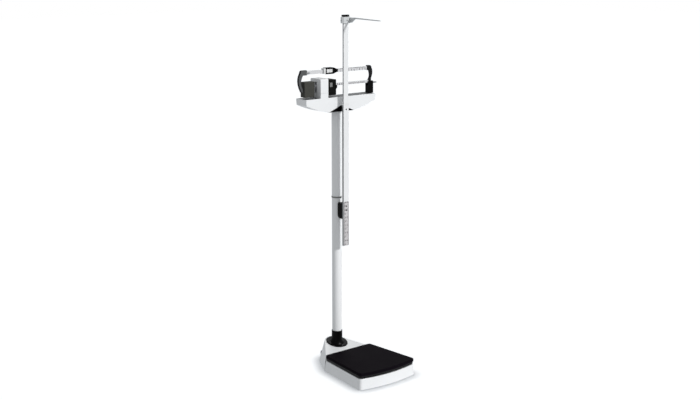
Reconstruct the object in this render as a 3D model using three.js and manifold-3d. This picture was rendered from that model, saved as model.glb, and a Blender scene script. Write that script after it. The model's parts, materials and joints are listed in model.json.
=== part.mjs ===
// Physician beam scale: a weighing platform on a lever base, a column with a sliding-poise beam at eye
// height, and a telescopic measuring rod in front of it.
// Millimetres, +Z up. The platform lies towards -Y, where the person stands, and +X is the right-hand
// end of the beam for someone who faces the platform. The design frame has the column's axis at X = Y = 0;
// the last lines shift the whole object so that the origin is the middle of its box, on the floor.
import * as THREE from "three";
import { ConvexGeometry } from "three/addons/geometries/ConvexGeometry.js";
import { mergeVertices } from "three/addons/utils/BufferGeometryUtils.js";
import Module from "manifold-3d";

const wasm = await Module();
wasm.setup();

// ---------------------------------------------------------------- driving dimensions

const FIT = 0.3; // gap between two pieces that rest on each other
const RUNNING = 0.5; // gap round a piece that slides or turns
const TURN = Math.PI * 2;
const degrees = (angle) => (angle * Math.PI) / 180;

// Base. The platform lies between frontY and backY; the column stands behind it at Y = 0.
const base = {
  floorGap: 2, // under the shell's rim
  rimTop: 57, // top of the walls round the platform
  wall: 4,
  draft: 5, // the walls lean out this much towards the floor
  halfFront: 176, // half-width at the front corners, at rimTop
  halfBack: 147, // half-width at the platform's back corners
  frontY: -410,
  backY: -87,
  bow: 20, // the front edge is bowed forward this much
  cornerRadius: 16,
};
const pedestal = {
  footRadius: 94, // round foot behind the platform, at the floor
  topRadius: 65,
  topZ: base.rimTop + 45, // on the column's axis
  slope: degrees(12), // the top falls towards the platform
  shoulderZ: base.rimTop + 19, // height at the platform's back corners
  shoulderInset: 6,
  wall: 5,
};
const plate = {
  thickness: 2,
  top: base.rimTop + 26,
  skirt: 22, // height of the folded edge
  inset: 1, // inside the base's rim
  backGap: 5, // its back edge stays clear of the pedestal
  cornerRadius: 14,
};
const mat = {
  thickness: 4,
  lip: 11, // how far the rubber folds down over the plate
  lipThickness: 2.5,
  bevel: 2,
};
const pan = { thickness: 1.5, lift: 1 }; // lift above the shell's rim
const foot = {
  radius: 16,
  step: 5, // the neck that fits the pan's hole is this much thinner
  height: base.floorGap + pan.lift + pan.thickness - 0.5,
  frontX: base.halfFront - 39,
  frontY: base.frontY + 40,
  rearX: 58,
  rearY: 18,
};
const castor = { radius: 17, width: 12, x: 44, y: 64, z: 31, axleRadius: 3, side: 2 };
const levers = {
  pivotZ: base.rimTop - 28, // height of the long lever's pins
  pinRadius: 4,
  barWidth: 10,
  barHeight: 16,
  longPivotY: base.frontY + 38, // front fulcrum
  longPivotX: base.halfFront - 58,
  loadArm: 25, // from the front fulcrum to the front platform bearings
  shortPivotZ: base.rimTop - 9,
  shortPivotY: base.backY - 37,
  shortPivotX: base.halfBack - 43,
  linkY: base.frontY + 148, // where the short lever hangs on the long one
  pinReach: 13, // how far a pin stands out on each side of its arm
};

// Column and draw rod.
const column = { radius: 25, wall: 2, bottom: pedestal.topZ + 26 };
const collar = {
  flangeRadius: column.radius + 31,
  flangeThickness: 5,
  neckRadius: column.radius + 3,
  neckTop: pedestal.topZ + 68,
  shoulderRadius: column.radius + 15,
  shoulderHeight: 12,
};
const drawRod = { radius: 2.5, fork: 11, pinRadius: 2 };

// Beam housing. Every height above it is an offset from its top.
const housing = {
  top: 1404,
  halfTop: 221,
  taper: 3, // the lower corner of each end lies this much further in
  endHeight: 31,
  depth: 79, // from the top to the lowest point of the curved bottom
  halfDepth: 42,
  wall: 3,
  cover: 2,
};
const saddle = {
  halfWidth: 78,
  bottom: housing.top - 74,
  apex: housing.top - 42,
  halfDepth: housing.halfDepth - 2,
  boreRadius: 10,
};
column.top = saddle.bottom + 10;
const fulcrum = { x: -107, z: housing.top + 59, pinRadius: 4, pinReach: 32 };
const tower = {
  left: fulcrum.x - 24,
  right: fulcrum.x + 24,
  baseTop: housing.top + 26,
  top: housing.top + 96,
  wall: 5,
  slotHalf: 20,
  roofRadius: 9,
};
const transfer = {
  pivotX: 60,
  z: housing.top - 16,
  height: 12,
  thickness: 6,
  linkX: fulcrum.x - 33.5,
  linkRadius: 2.5,
  pinRadius: 3,
};

// Beam.
const weight = {
  right: tower.left - 19,
  left: tower.left - 80,
  top: housing.top + 84,
  bottom: housing.top + 8,
  depth: 36,
};
const lockBlock = {
  left: housing.halfTop - 21,
  right: housing.halfTop + 8,
  top: housing.top + 63,
  depth: 30,
  wall: 4,
  pivotWall: 5,
};
const lockLever = {
  reach: lockBlock.right + 30,
  z: housing.top + 52,
  thickness: 5,
  width: 12,
  pinRadius: 1.5,
};
const lowerBar = {
  height: 13,
  thickness: 6,
  right: lockBlock.right - 12,
  left: weight.left + 6,
  notches: 20,
  notchDepth: 1.6,
};
const upperBar = {
  z: housing.top + 128,
  height: 18,
  thickness: 5,
  left: weight.left - 10,
  right: lockBlock.right - 15,
};
const bracket = { depth: 14, clampHeight: 25 };
const mainPoise = {
  left: tower.right + 6,
  right: tower.right + 60,
  height: 78,
  depth: 56,
  nub: 7,
  waist: 13,
};
const finePoise = {
  left: mainPoise.left - 9,
  right: mainPoise.right + 2,
  tip: 21,
  height: 32,
  depth: 26,
  capWidth: 10,
  windowLeft: 6, // black frame to the left of the window
  windowRight: 11,
  windowHeight: 18,
};
const zeroKnob = { x: upperBar.left + 43, radius: 4.5, length: 9 };

// Measuring rod, in front of the housing.
const rod = {
  y: -(housing.halfDepth + 31),
  bottom: housing.top - 762,
  top: housing.top - 39,
  width: 34,
  depth: 13,
  wall: 1.5,
  innerWall: 1.4,
};
rod.innerWidth = rod.width - 2 * (rod.wall + RUNNING);
rod.innerDepth = rod.depth - 2 * (rod.wall + RUNNING);
rod.innerTop = rod.top + 437;
rod.innerBottom = rod.innerTop - 772;
const guideCap = { grow: 0.8, height: 7 }; // ring on top of the outer rod
const rodHead = {
  bottom: rod.innerTop - 32,
  top: rod.innerTop - 1,
  width: 55,
  frontWall: 5.5,
  lipThickness: 3,
  opening: 14, // half-width of the slot at the back
  chamfer: 8,
  clearance: 0.7, // round the guide cap
};
const cap = { width: 38, depth: 18, height: 9 };
const tongue = {
  left: 17,
  right: 26,
  length: 222, // from the hinge to the tip
  droop: 5, // the tip hangs this much lower than the root
  thickness: 4,
  topZ: rod.innerTop - 4,
  hingeZ: rod.innerTop - 25,
  hingeGap: 5.5, // from the head's front face to the hinge pin
  wedge: 30,
  knuckle: 4.5,
  pinRadius: 1.8,
  lug: 5,
  pinHead: 1.5,
};
const clampSaddle = {
  bottom: rod.bottom + 138,
  top: rod.bottom + 220,
  halfWidth: 12,
  screwZ: [rod.bottom + 186, rod.bottom + 207],
};
const band = { z: rod.bottom + 244, height: 7, thickness: 1.6, tab: 9 };
const upperClamp = {
  bottom: saddle.bottom + 2,
  top: saddle.bottom + 25,
  halfWidth: 12,
  screwZ: [saddle.bottom + 14],
};
const screw = { radius: 2, reach: 12 };

// ---------------------------------------------------------------- geometry helpers

// A three.js geometry as a manifold solid, which can be joined and cut.
function solid(geometry) {
  const bare = geometry.index ? geometry.toNonIndexed() : geometry.clone();
  for (const name of Object.keys(bare.attributes)) {
    if (name !== "position") bare.deleteAttribute(name);
  }
  const merged = mergeVertices(bare, 1e-4);
  return new wasm.Manifold(
    new wasm.Mesh({
      numProp: 3,
      vertProperties: merged.attributes.position.array,
      triVerts: new Uint32Array(merged.index.array),
    }),
  );
}

// A manifold solid as a flat-shaded three.js geometry.
function geometryOf(body) {
  const mesh = body.getMesh();
  const geometry = new THREE.BufferGeometry();
  geometry.setAttribute("position", new THREE.BufferAttribute(mesh.vertProperties, 3));
  geometry.setIndex(new THREE.BufferAttribute(mesh.triVerts, 1));
  const flat = geometry.toNonIndexed();
  flat.computeVertexNormals();
  return flat;
}

const join = (...bodies) => bodies.reduce((whole, next) => whole.add(next));
const cut = (body, ...tools) => tools.reduce((rest, tool) => rest.subtract(tool), body);

// A box between two values on each axis.
function block([x0, x1], [y0, y1], [z0, z1]) {
  const box = new THREE.BoxGeometry(x1 - x0, y1 - y0, z1 - z0);
  box.translate((x0 + x1) / 2, (y0 + y1) / 2, (z0 + z1) / 2);
  return solid(box);
}

// Turns a shape's own X, Y and depth into the axes of a section square to X, Y or Z.
const sectionAxes = {
  x: new THREE.Matrix4().makeBasis(
    new THREE.Vector3(0, 1, 0),
    new THREE.Vector3(0, 0, 1),
    new THREE.Vector3(1, 0, 0),
  ),
  y: new THREE.Matrix4().makeBasis(
    new THREE.Vector3(1, 0, 0),
    new THREE.Vector3(0, 0, 1),
    new THREE.Vector3(0, -1, 0),
  ),
  z: new THREE.Matrix4(),
};

// A shape extruded along an axis from one value to another.
// Square to x the shape holds (y, z), square to y it holds (x, z), square to z it holds (x, y).
function prism(shape, axis, from, to, curveSegments = 6) {
  const extruded = new THREE.ExtrudeGeometry(shape, {
    depth: to - from,
    bevelEnabled: false,
    curveSegments,
  });
  if (axis === "y") extruded.translate(0, 0, -to);
  else extruded.translate(0, 0, from);
  extruded.applyMatrix4(sectionAxes[axis]);
  return solid(extruded);
}

// A closed outline through points, each corner rounded by its radius (0 keeps it sharp).
function roundedShape(corners) {
  const shape = new THREE.Shape();
  corners.forEach(([x, y, radius = 0], index) => {
    const before = corners[(index + corners.length - 1) % corners.length];
    const after = corners[(index + 1) % corners.length];
    const here = new THREE.Vector2(x, y);
    const back = new THREE.Vector2(before[0], before[1]).sub(here).setLength(radius);
    const ahead = new THREE.Vector2(after[0], after[1]).sub(here).setLength(radius);
    const start = here.clone().add(back);
    const end = here.clone().add(ahead);
    if (index === 0) shape.moveTo(start.x, start.y);
    else shape.lineTo(start.x, start.y);
    if (radius > 0) shape.quadraticCurveTo(x, y, end.x, end.y);
  });
  shape.closePath();
  return shape;
}

// A rounded rectangle about a centre.
function rectangle(width, height, radius, x = 0, y = 0) {
  return roundedShape([
    [x - width / 2, y - height / 2, radius],
    [x + width / 2, y - height / 2, radius],
    [x + width / 2, y + height / 2, radius],
    [x - width / 2, y + height / 2, radius],
  ]);
}

// A round bar along an axis, through the point (u, v) of the section square to it.
function bar(radius, axis, from, to, [u, v] = [0, 0], sides = 24) {
  const circle = new THREE.Shape();
  circle.absarc(u, v, radius, 0, TURN);
  return prism(circle, axis, from, to, sides / 2);
}

// A body of revolution about Z from a profile of [radius, z] that starts and ends on the axis.
function turned(profile, segments = 40) {
  const points = profile.map(([radius, z]) => new THREE.Vector2(radius, z));
  const lathe = new THREE.LatheGeometry(points, segments);
  lathe.rotateX(Math.PI / 2);
  return solid(lathe);
}

// The smallest convex solid round a set of points.
const hull = (points) => solid(new ConvexGeometry(points.map(([x, y, z]) => new THREE.Vector3(x, y, z))));

function circlePoints(radius, height, count = 40) {
  return Array.from({ length: count }, (_, step) => {
    const x = radius * Math.cos((step / count) * TURN);
    const y = radius * Math.sin((step / count) * TURN);
    return [x, y, height(y)];
  });
}

const materials = {
  whiteEnamel: new THREE.MeshStandardMaterial({ color: 0xf0f1f0, roughness: 0.32, metalness: 0 }),
  blackRubber: new THREE.MeshStandardMaterial({ color: 0x17141a, roughness: 0.6, metalness: 0 }),
  blackPlastic: new THREE.MeshStandardMaterial({ color: 0x101012, roughness: 0.42, metalness: 0 }),
  castIron: new THREE.MeshStandardMaterial({ color: 0x55554b, roughness: 0.7, metalness: 0.2 }),
  steel: new THREE.MeshStandardMaterial({ color: 0xa9abad, roughness: 0.35, metalness: 1 }),
  aluminium: new THREE.MeshStandardMaterial({ color: 0xd9dadb, roughness: 0.4, metalness: 0.6 }),
  greyEnamel: new THREE.MeshStandardMaterial({ color: 0x70767a, roughness: 0.45, metalness: 0.1 }),
};

// Adds a named piece to a group.
function piece(group, name, body, material) {
  const mesh = new THREE.Mesh(geometryOf(body), materials[material].clone());
  mesh.name = name;
  group.add(mesh);
  return mesh;
}

// ---------------------------------------------------------------- base

// Plan outline of the platform area: a trapezoid with a bowed front, drawn "grow" outside the rim,
// its back edge moved forward by "backGap".
function platformOutline(grow, radius, backGap = 0) {
  const front = base.halfFront + grow;
  const back = base.halfBack + grow;
  const frontY = base.frontY - grow;
  const backY = base.backY + grow - backGap;
  const shape = new THREE.Shape();
  shape.moveTo(-back, backY - radius);
  shape.lineTo(-front, frontY + radius);
  shape.quadraticCurveTo(-front, frontY, -front + radius, frontY - 2);
  shape.quadraticCurveTo(0, frontY - 2 * base.bow, front - radius, frontY - 2);
  shape.quadraticCurveTo(front, frontY, front, frontY + radius);
  shape.lineTo(back, backY - radius);
  shape.quadraticCurveTo(back, backY, back - radius, backY);
  shape.lineTo(-back + radius, backY);
  shape.quadraticCurveTo(-back, backY, -back, backY - radius);
  return shape;
}

const outlinePoints = (shape, z) => shape.getPoints(8).map((point) => [point.x, point.y, z]);
const pedestalTop = (y) => pedestal.topZ + y * Math.tan(pedestal.slope);

// The tapered block under the platform, "inside" of its outer face, between two heights.
function platformBlock(inside, bottom, top) {
  const lean = (z) => (base.draft * (base.rimTop - z)) / (base.rimTop - base.floorGap);
  return hull([
    ...outlinePoints(platformOutline(lean(bottom) - inside, base.cornerRadius), bottom),
    ...outlinePoints(platformOutline(lean(top) - inside, base.cornerRadius), top),
  ]);
}

// The hump behind the platform: a round foot that runs forward into two shoulders.
function pedestalBlock(inside, bottom) {
  const shoulderX = base.halfBack - pedestal.shoulderInset - inside;
  const corners = [-1, 1].flatMap((side) => [
    [side * shoulderX, base.backY + inside, pedestal.shoulderZ - inside],
    [side * (base.halfBack + base.draft - inside), base.backY + inside, bottom],
  ]);
  return hull([
    ...circlePoints(pedestal.footRadius - inside, () => bottom),
    ...circlePoints(pedestal.topRadius - inside, (y) => pedestalTop(y) - inside),
    ...corners,
    [0, base.backY + inside, pedestalTop(base.backY) - inside],
  ]);
}

function baseHousing() {
  const outer = join(platformBlock(0, base.floorGap, base.rimTop), pedestalBlock(0, base.floorGap));
  const inner = join(
    platformBlock(base.wall, base.floorGap - 1, base.rimTop + 1),
    pedestalBlock(pedestal.wall, base.floorGap - 1),
  );
  const well = castor.width / 2 + castor.side;
  const wellTop = castor.z + castor.radius + castor.side;
  const wellFront = castor.y - castor.radius - castor.side;
  const hollows = [-1, 1].map((side) =>
    block(
      [side * castor.x - well, side * castor.x + well],
      [wellFront, pedestal.footRadius + base.wall],
      [base.floorGap - 1, wellTop],
    ),
  );
  const pockets = [-1, 1].map((side) =>
    block(
      [side * castor.x - well - base.wall, side * castor.x + well + base.wall],
      [wellFront - base.wall, pedestal.footRadius],
      [base.floorGap, wellTop + base.wall],
    ).intersect(pedestalBlock(0, base.floorGap)),
  );
  const footX = castor.x + well + base.wall + 1;
  const axle = bar(castor.axleRadius + FIT, "x", -footX, footX, [castor.y, castor.z]);
  // The passage of the draw rod and the long lever's tail through the top of the hump.
  const neckHole = bar(column.radius - column.wall, "z", base.rimTop, pedestal.topZ + 30);
  const lightened = cut(outer, inner);
  const openingHalf = base.halfBack - base.wall;
  const opening = block(
    [-openingHalf, openingHalf],
    [base.backY - base.wall - 1, base.backY + pedestal.wall + 1],
    [base.floorGap - 1, base.rimTop - base.wall],
  );
  return cut(join(cut(lightened, opening), ...pockets), ...hollows, axle, neckHole);
}

const footPlaces = [
  [-foot.frontX, foot.frontY],
  [foot.frontX, foot.frontY],
  [-foot.rearX, foot.rearY],
  [foot.rearX, foot.rearY],
];

// A pressed sheet that closes the bottom and carries the levers' stands and the feet.
function basePan() {
  const inside = base.wall + 3;
  const radius = pedestal.footRadius - inside;
  const cornerX = base.halfBack - inside;
  const distance = Math.hypot(cornerX, base.backY);
  const tangent = Math.atan2(base.backY, cornerX) + Math.acos(radius / distance);
  const rear = new THREE.Shape();
  rear.moveTo(-cornerX, base.backY - 20);
  rear.lineTo(cornerX, base.backY - 20);
  rear.lineTo(cornerX, base.backY);
  rear.absarc(0, 0, radius, tangent, Math.PI - tangent);
  rear.lineTo(-cornerX, base.backY);
  rear.closePath();
  const bottom = base.floorGap + pan.lift;
  const top = bottom + pan.thickness;
  const sheet = join(
    prism(platformOutline(-inside, base.cornerRadius), "z", bottom, top),
    prism(rear, "z", bottom, top),
  );
  const wheelRoom = block(
    [-radius, radius],
    [castor.y - castor.radius - castor.side - base.wall - 1, radius + 1],
    [bottom - 1, top + 1],
  );
  const holes = footPlaces.map(([x, y]) => bar(foot.radius - foot.step, "z", 0, top + 1, [x, y]));
  return cut(sheet, wheelRoom, ...holes);
}

function feet(group) {
  const names = ["foot_front_left", "foot_front_right", "foot_rear_left", "foot_rear_right"];
  footPlaces.forEach(([x, y], index) => {
    const shape = turned([
      [0, 0],
      [foot.radius - 2, 0],
      [foot.radius, 2],
      [foot.radius, base.floorGap + pan.lift - FIT],
      [foot.radius - foot.step - FIT, base.floorGap + pan.lift - FIT],
      [foot.radius - foot.step - FIT, foot.height],
      [0, foot.height],
    ], 28);
    piece(group, names[index], shape, "blackRubber").position.set(x, y, 0);
  });
}

function castors(group) {
  for (const side of [-1, 1]) {
    const half = castor.width / 2;
    const wheel = cut(
      join(
        bar(castor.radius, "x", -half + 1.5, half - 1.5),
        bar(castor.radius - 2, "x", -half, half),
        bar(castor.axleRadius + 3, "x", -half - 1, half + 1),
      ),
      bar(castor.axleRadius + RUNNING / 2, "x", -half - 2, half + 2),
    );
    const name = side < 0 ? "castor_wheel_left" : "castor_wheel_right";
    piece(group, name, wheel, "greyEnamel").position.set(side * castor.x, castor.y, castor.z);
  }
  const reach = castor.x + castor.width / 2 + castor.side + base.wall;
  const axle = bar(castor.axleRadius, "x", -reach, reach);
  piece(group, "castor_axle", axle, "steel").position.set(0, castor.y, castor.z);
}

// ---------------------------------------------------------------- levers in the base

// The rear platform bearings lie this far from the short lever's pivot, so that the platform stays level.
const shortLoadArm =
  (levers.loadArm * (levers.shortPivotY - levers.linkY)) / (levers.linkY - levers.longPivotY);

const longLoadY = levers.longPivotY + levers.loadArm;
const shortLoadY = levers.shortPivotY - shortLoadArm;

// A flat bar seen from above, from one point to another, with round ends.
function arm([x0, y0], [x1, y1], width, bottom, top) {
  const half = width / 2;
  const angle = Math.atan2(y1 - y0, x1 - x0);
  const shape = new THREE.Shape();
  shape.absarc(x0, y0, half, angle + Math.PI / 2, angle + (Math.PI * 3) / 2);
  shape.absarc(x1, y1, half, angle - Math.PI / 2, angle + Math.PI / 2);
  shape.closePath();
  return prism(shape, "z", bottom, top, 6);
}

function pins(x, y, z) {
  return [-1, 1].map((side) =>
    bar(levers.pinRadius, "x", side * x - levers.pinReach, side * x + levers.pinReach, [y, z], 12),
  );
}

function longLever() {
  const bottom = levers.pivotZ - levers.barHeight / 2;
  const top = levers.pivotZ + levers.barHeight / 2;
  const width = levers.barWidth;
  const tail = [0, 0];
  const arms = [-1, 1].map((side) =>
    arm([side * levers.longPivotX, levers.longPivotY], tail, width, bottom, top),
  );
  const share = levers.linkY / levers.longPivotY;
  const crossX = levers.longPivotX * share;
  const cross = arm([-crossX, levers.linkY], [crossX, levers.linkY], width, bottom, top);
  const heads = [-1, 1].map((side) =>
    block(
      [side * levers.longPivotX - 5, side * levers.longPivotX + 5],
      [levers.longPivotY - 7, longLoadY + 7],
      [bottom, top],
    ),
  );
  const eye = bar(drawRod.radius + RUNNING, "z", bottom - 1, top + 1, [0, 0], 16);
  const linkHole = block([-8, 8], [levers.linkY - 2.5, levers.linkY + 2.5], [bottom - 1, top + 1]);
  return cut(
    join(
      ...arms,
      cross,
      ...heads,
      ...pins(levers.longPivotX, levers.longPivotY, levers.pivotZ),
      ...pins(levers.longPivotX, longLoadY, levers.pivotZ),
    ),
    eye,
    linkHole,
  );
}

function shortLever() {
  const z = levers.shortPivotZ;
  const half = levers.pinRadius + 2;
  const shaft = bar(half, "x", -levers.shortPivotX, levers.shortPivotX, [levers.shortPivotY, z], 16);
  const tongueArm = arm([0, levers.shortPivotY], [0, levers.linkY], levers.barWidth, z - half, z + half);
  const cranks = [-1, 1].map((side) =>
    block(
      [side * levers.shortPivotX - 4, side * levers.shortPivotX + 4],
      [shortLoadY - 7, levers.shortPivotY + 7],
      [z - half, z + half],
    ),
  );
  const linkHole = block([-3, 3], [levers.linkY - 3, levers.linkY + 3], [z - half - 1, z + half + 1]);
  return cut(
    join(
      shaft,
      tongueArm,
      ...cranks,
      ...pins(levers.shortPivotX, levers.shortPivotY, z),
      ...pins(levers.shortPivotX, shortLoadY, z),
    ),
    linkHole,
  );
}

// A T-headed strap: its head rests on the short lever and its foot passes under the long one.
function leverLink() {
  const top = levers.shortPivotZ + levers.pinRadius + 2;
  const bottom = levers.pivotZ - levers.barHeight / 2;
  const stem = block([-2, 2], [levers.linkY - 2, levers.linkY + 2], [bottom - 1, top + 1]);
  const head = block([-6, 6], [levers.linkY - 2, levers.linkY + 2], [top + FIT, top + 3]);
  const footBar = block([-12, 12], [levers.linkY - 2, levers.linkY + 2], [bottom - 3, bottom - FIT]);
  return join(stem, head, footBar);
}

// A strip on the pan with a notched block at each end, which carry a lever's two pivots.
function stand(pivotX, pivotY, pivotZ) {
  const foundation = base.floorGap + pan.lift + pan.thickness + FIT;
  const reach = pivotX + levers.pinReach - 4;
  const strip = block([-reach, reach], [pivotY - 8, pivotY + 8], [foundation, foundation + 2]);
  const blocks = [-1, 1].map((side) => {
    const x = side * reach;
    return block([x - 3.5, x + 3.5], [pivotY - 8, pivotY + 8], [foundation, pivotZ + 1]);
  });
  const notch = join(
    bar(levers.pinRadius + FIT, "x", -200, 200, [pivotY, pivotZ], 12),
    block([-200, 200], [pivotY - levers.pinRadius - FIT, pivotY + levers.pinRadius + FIT], [pivotZ, 100]),
  );
  return cut(join(strip, ...blocks), notch);
}

// A cross bar under the platform whose two notched posts stand on the load pins.
function bearer(loadX, loadY, loadZ) {
  const top = plate.top - plate.thickness - FIT;
  const reach = loadX + levers.pinReach - 4;
  const cross = block([-reach, reach], [loadY - 7, loadY + 7], [top - 6, top]);
  const blocks = [-1, 1].map((side) => {
    const x = side * reach;
    return block([x - 3.5, x + 3.5], [loadY - 7, loadY + 7], [loadZ - 1, top]);
  });
  const notch = join(
    bar(levers.pinRadius + FIT, "x", -200, 200, [loadY, loadZ], 12),
    block([-200, 200], [loadY - levers.pinRadius - FIT, loadY + levers.pinRadius + FIT], [0, loadZ]),
  );
  return cut(join(cross, ...blocks), notch);
}

// ---------------------------------------------------------------- platform

function platformPlate() {
  const shape = platformOutline(-plate.inset, plate.cornerRadius, plate.backGap);
  const inner = platformOutline(-plate.inset - plate.thickness, plate.cornerRadius, plate.backGap);
  return cut(
    prism(shape, "z", plate.top - plate.skirt, plate.top),
    prism(inner, "z", plate.top - plate.skirt - 1, plate.top - plate.thickness),
  );
}

function platformMat() {
  const grow = mat.lipThickness - plate.inset + FIT;
  const { bevel } = mat;
  const top = plate.top + FIT + mat.thickness;
  const bottom = plate.top - mat.lip;
  const edge = (inside) => platformOutline(grow - inside, plate.cornerRadius, plate.backGap);
  const outer = hull([
    ...outlinePoints(edge(0), bottom),
    ...outlinePoints(edge(0), top - bevel),
    ...outlinePoints(edge(bevel), top),
  ]);
  const inner = platformOutline(-plate.inset + FIT, plate.cornerRadius, plate.backGap);
  return cut(outer, prism(inner, "z", bottom - 1, plate.top + FIT));
}

// ---------------------------------------------------------------- column

function columnTube() {
  return cut(
    bar(column.radius, "z", column.bottom, column.top, [0, 0], 40),
    bar(column.radius - column.wall, "z", column.bottom - 1, column.top + 1, [0, 0], 40),
  );
}

function columnCollar() {
  const lift = (z) => (y) => z + y * Math.tan(pedestal.slope);
  const seat = pedestal.topZ + FIT;
  const flange = hull([
    ...circlePoints(collar.flangeRadius, lift(seat)),
    ...circlePoints(collar.flangeRadius, lift(seat + collar.flangeThickness - 1.5)),
    ...circlePoints(collar.flangeRadius - 1.5, lift(seat + collar.flangeThickness)),
  ]);
  const shoulderTop = seat + collar.flangeThickness + collar.shoulderHeight;
  const shoulder = hull([
    ...circlePoints(collar.shoulderRadius, lift(seat + 1)),
    ...circlePoints(collar.neckRadius, () => shoulderTop),
  ]);
  const neck = bar(collar.neckRadius, "z", shoulderTop - 8, collar.neckTop, [0, 0], 40);
  const bore = bar(column.radius + FIT, "z", column.bottom - FIT, collar.neckTop + 1, [0, 0], 40);
  const passageRadius = column.radius - column.wall - 3;
  const passage = bar(passageRadius, "z", pedestal.topZ - 40, column.bottom + 1, [0, 0], 24);
  return cut(join(flange, shoulder, neck), bore, passage);
}

// The wedge on top of the column that the beam housing sits over.
function columnSaddle() {
  const shape = roundedShape([
    [-saddle.halfWidth, saddle.bottom, 1],
    [saddle.halfWidth, saddle.bottom, 1],
    [0, saddle.apex, 8],
  ]);
  return cut(
    prism(shape, "y", -saddle.halfDepth, saddle.halfDepth),
    bar(column.radius + FIT, "z", saddle.bottom - 1, column.top + FIT, [0, 0], 40),
    bar(saddle.boreRadius, "z", column.top - 1, saddle.apex + 1, [0, 0], 24),
  );
}

// The rod from the long lever up to the transfer lever, hooked below and forked on top.
function drawRodSolid() {
  const half = drawRod.fork / 2;
  const bottom = levers.pivotZ - levers.barHeight / 2;
  const gap = transfer.thickness / 2 + RUNNING;
  const shank = bar(drawRod.radius, "z", bottom - 4, transfer.z - 14, [0, 0], 16);
  const nut = bar(drawRod.radius + 4, "z", bottom - 6, bottom - FIT, [0, 0], 6);
  const fork = block([-half, half], [-half - 1, half + 1], [transfer.z - 20, transfer.z + 5]);
  const slot = block([-half - 1, half + 1], [-gap, gap], [transfer.z - 12, transfer.z + 6]);
  const hole = bar(drawRod.pinRadius + FIT, "y", -half - 2, half + 2, [0, transfer.z], 12);
  return cut(join(shank, nut, fork), slot, hole);
}

// ---------------------------------------------------------------- beam housing

function hullOutline(inside) {
  const top = housing.top;
  const half = housing.halfTop - inside;
  const end = housing.halfTop - housing.taper - inside;
  const endZ = top - housing.endHeight + inside * 0.5;
  const lowest = top - housing.depth + inside;
  const sag = endZ - lowest;
  const radius = (end * end + sag * sag) / (2 * sag);
  const angle = Math.asin(end / radius);
  const shape = new THREE.Shape();
  shape.moveTo(half, top);
  shape.lineTo(-half, top);
  shape.lineTo(-end, endZ);
  shape.absarc(0, lowest + radius, radius, -Math.PI / 2 - angle, -Math.PI / 2 + angle);
  shape.closePath();
  return shape;
}

function housingShell() {
  const depth = housing.halfDepth;
  const inner = depth - housing.wall;
  const outer = prism(hullOutline(0), "y", -depth, depth, 20);
  const hollow = prism(hullOutline(housing.wall), "y", -inner, inner, 20);
  const mouth = block(
    [-housing.halfTop + housing.wall, housing.halfTop - housing.wall],
    [-inner, inner],
    [housing.top - housing.wall - 5, housing.top + 1],
  );
  const drop = saddle.bottom - housing.top + housing.depth + 5;
  const notchHalf = saddle.halfWidth * (1 + drop / (saddle.apex - saddle.bottom)) + 2 * FIT;
  const notch = prism(
    roundedShape([
      [-notchHalf, saddle.bottom - drop, 0],
      [notchHalf, saddle.bottom - drop, 0],
      [0, saddle.apex + 2 * FIT, 8],
    ]),
    "y",
    -depth - 1,
    depth + 1,
  );
  const seatBlock = cut(
    block([tower.left, tower.right], [-depth, depth], [housing.top - 6, tower.baseTop]),
    block(
      [tower.left + tower.wall, tower.right - tower.wall],
      [-depth + tower.wall, depth - tower.wall],
      [housing.top - 7, tower.baseTop - tower.wall],
    ),
  );
  const bosses = [-1, 1].map((side) =>
    bar(6, "y", side < 0 ? -inner - 0.5 : inner - 9, side < 0 ? -inner + 9 : inner + 0.5, [
      transfer.pivotX,
      transfer.z,
    ]),
  );
  const shell = join(cut(outer, hollow, mouth, notch), seatBlock, ...bosses);
  const pinHole = bar(transfer.pinRadius + FIT, "y", -inner + 1, inner - 1, [transfer.pivotX, transfer.z]);
  return cut(shell, pinHole);
}

function coverPlate(from, to) {
  const inner = housing.halfDepth - housing.wall - FIT;
  const top = housing.top - FIT;
  return block([from, to], [-inner, inner], [top - housing.cover, top]);
}

function leftCover() {
  const from = -housing.halfTop + housing.wall + FIT;
  const slot = block(
    [transfer.linkX - 6, transfer.linkX + 6],
    [-9, 9],
    [housing.top - 10, housing.top + 1],
  );
  return cut(coverPlate(from, tower.left - FIT), slot);
}

const rightCover = () => coverPlate(tower.right + FIT, housing.halfTop - housing.wall - FIT);

// The hood over the fulcrum, slotted on both sides for the beam.
function towerCap() {
  const depth = housing.halfDepth;
  const bottom = tower.baseTop + FIT;
  const rounded = roundedShape([
    [-depth, bottom, 0],
    [depth, bottom, 0],
    [depth, tower.top, tower.roofRadius],
    [-depth, tower.top, tower.roofRadius],
  ]);
  const hollow = block(
    [tower.left + tower.wall, tower.right - tower.wall],
    [-depth + tower.wall, depth - tower.wall],
    [bottom - 1, tower.top - tower.wall],
  );
  const slot = block(
    [tower.left - 1, tower.right + 1],
    [-8, 8],
    [bottom - 1, fulcrum.z + tower.slotHalf],
  );
  return cut(prism(rounded, "x", tower.left, tower.right), hollow, slot);
}

// A yoke with two notched posts, which carries the beam's pivot.
function fulcrumYoke() {
  const bottom = tower.baseTop + FIT;
  const foundation = block([fulcrum.x - 9, fulcrum.x + 9], [-27, 27], [bottom, bottom + 5]);
  const blocks = [-1, 1].map((side) =>
    block(
      [fulcrum.x - 9, fulcrum.x + 9],
      side < 0 ? [-27, -15] : [15, 27],
      [bottom, fulcrum.z + 1],
    ),
  );
  const notch = join(
    bar(fulcrum.pinRadius + FIT, "y", -40, 40, [fulcrum.x, fulcrum.z]),
    block(
      [fulcrum.x - fulcrum.pinRadius - FIT, fulcrum.x + fulcrum.pinRadius + FIT],
      [-40, 40],
      [fulcrum.z, fulcrum.z + 10],
    ),
  );
  return cut(join(foundation, ...blocks), notch);
}

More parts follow.
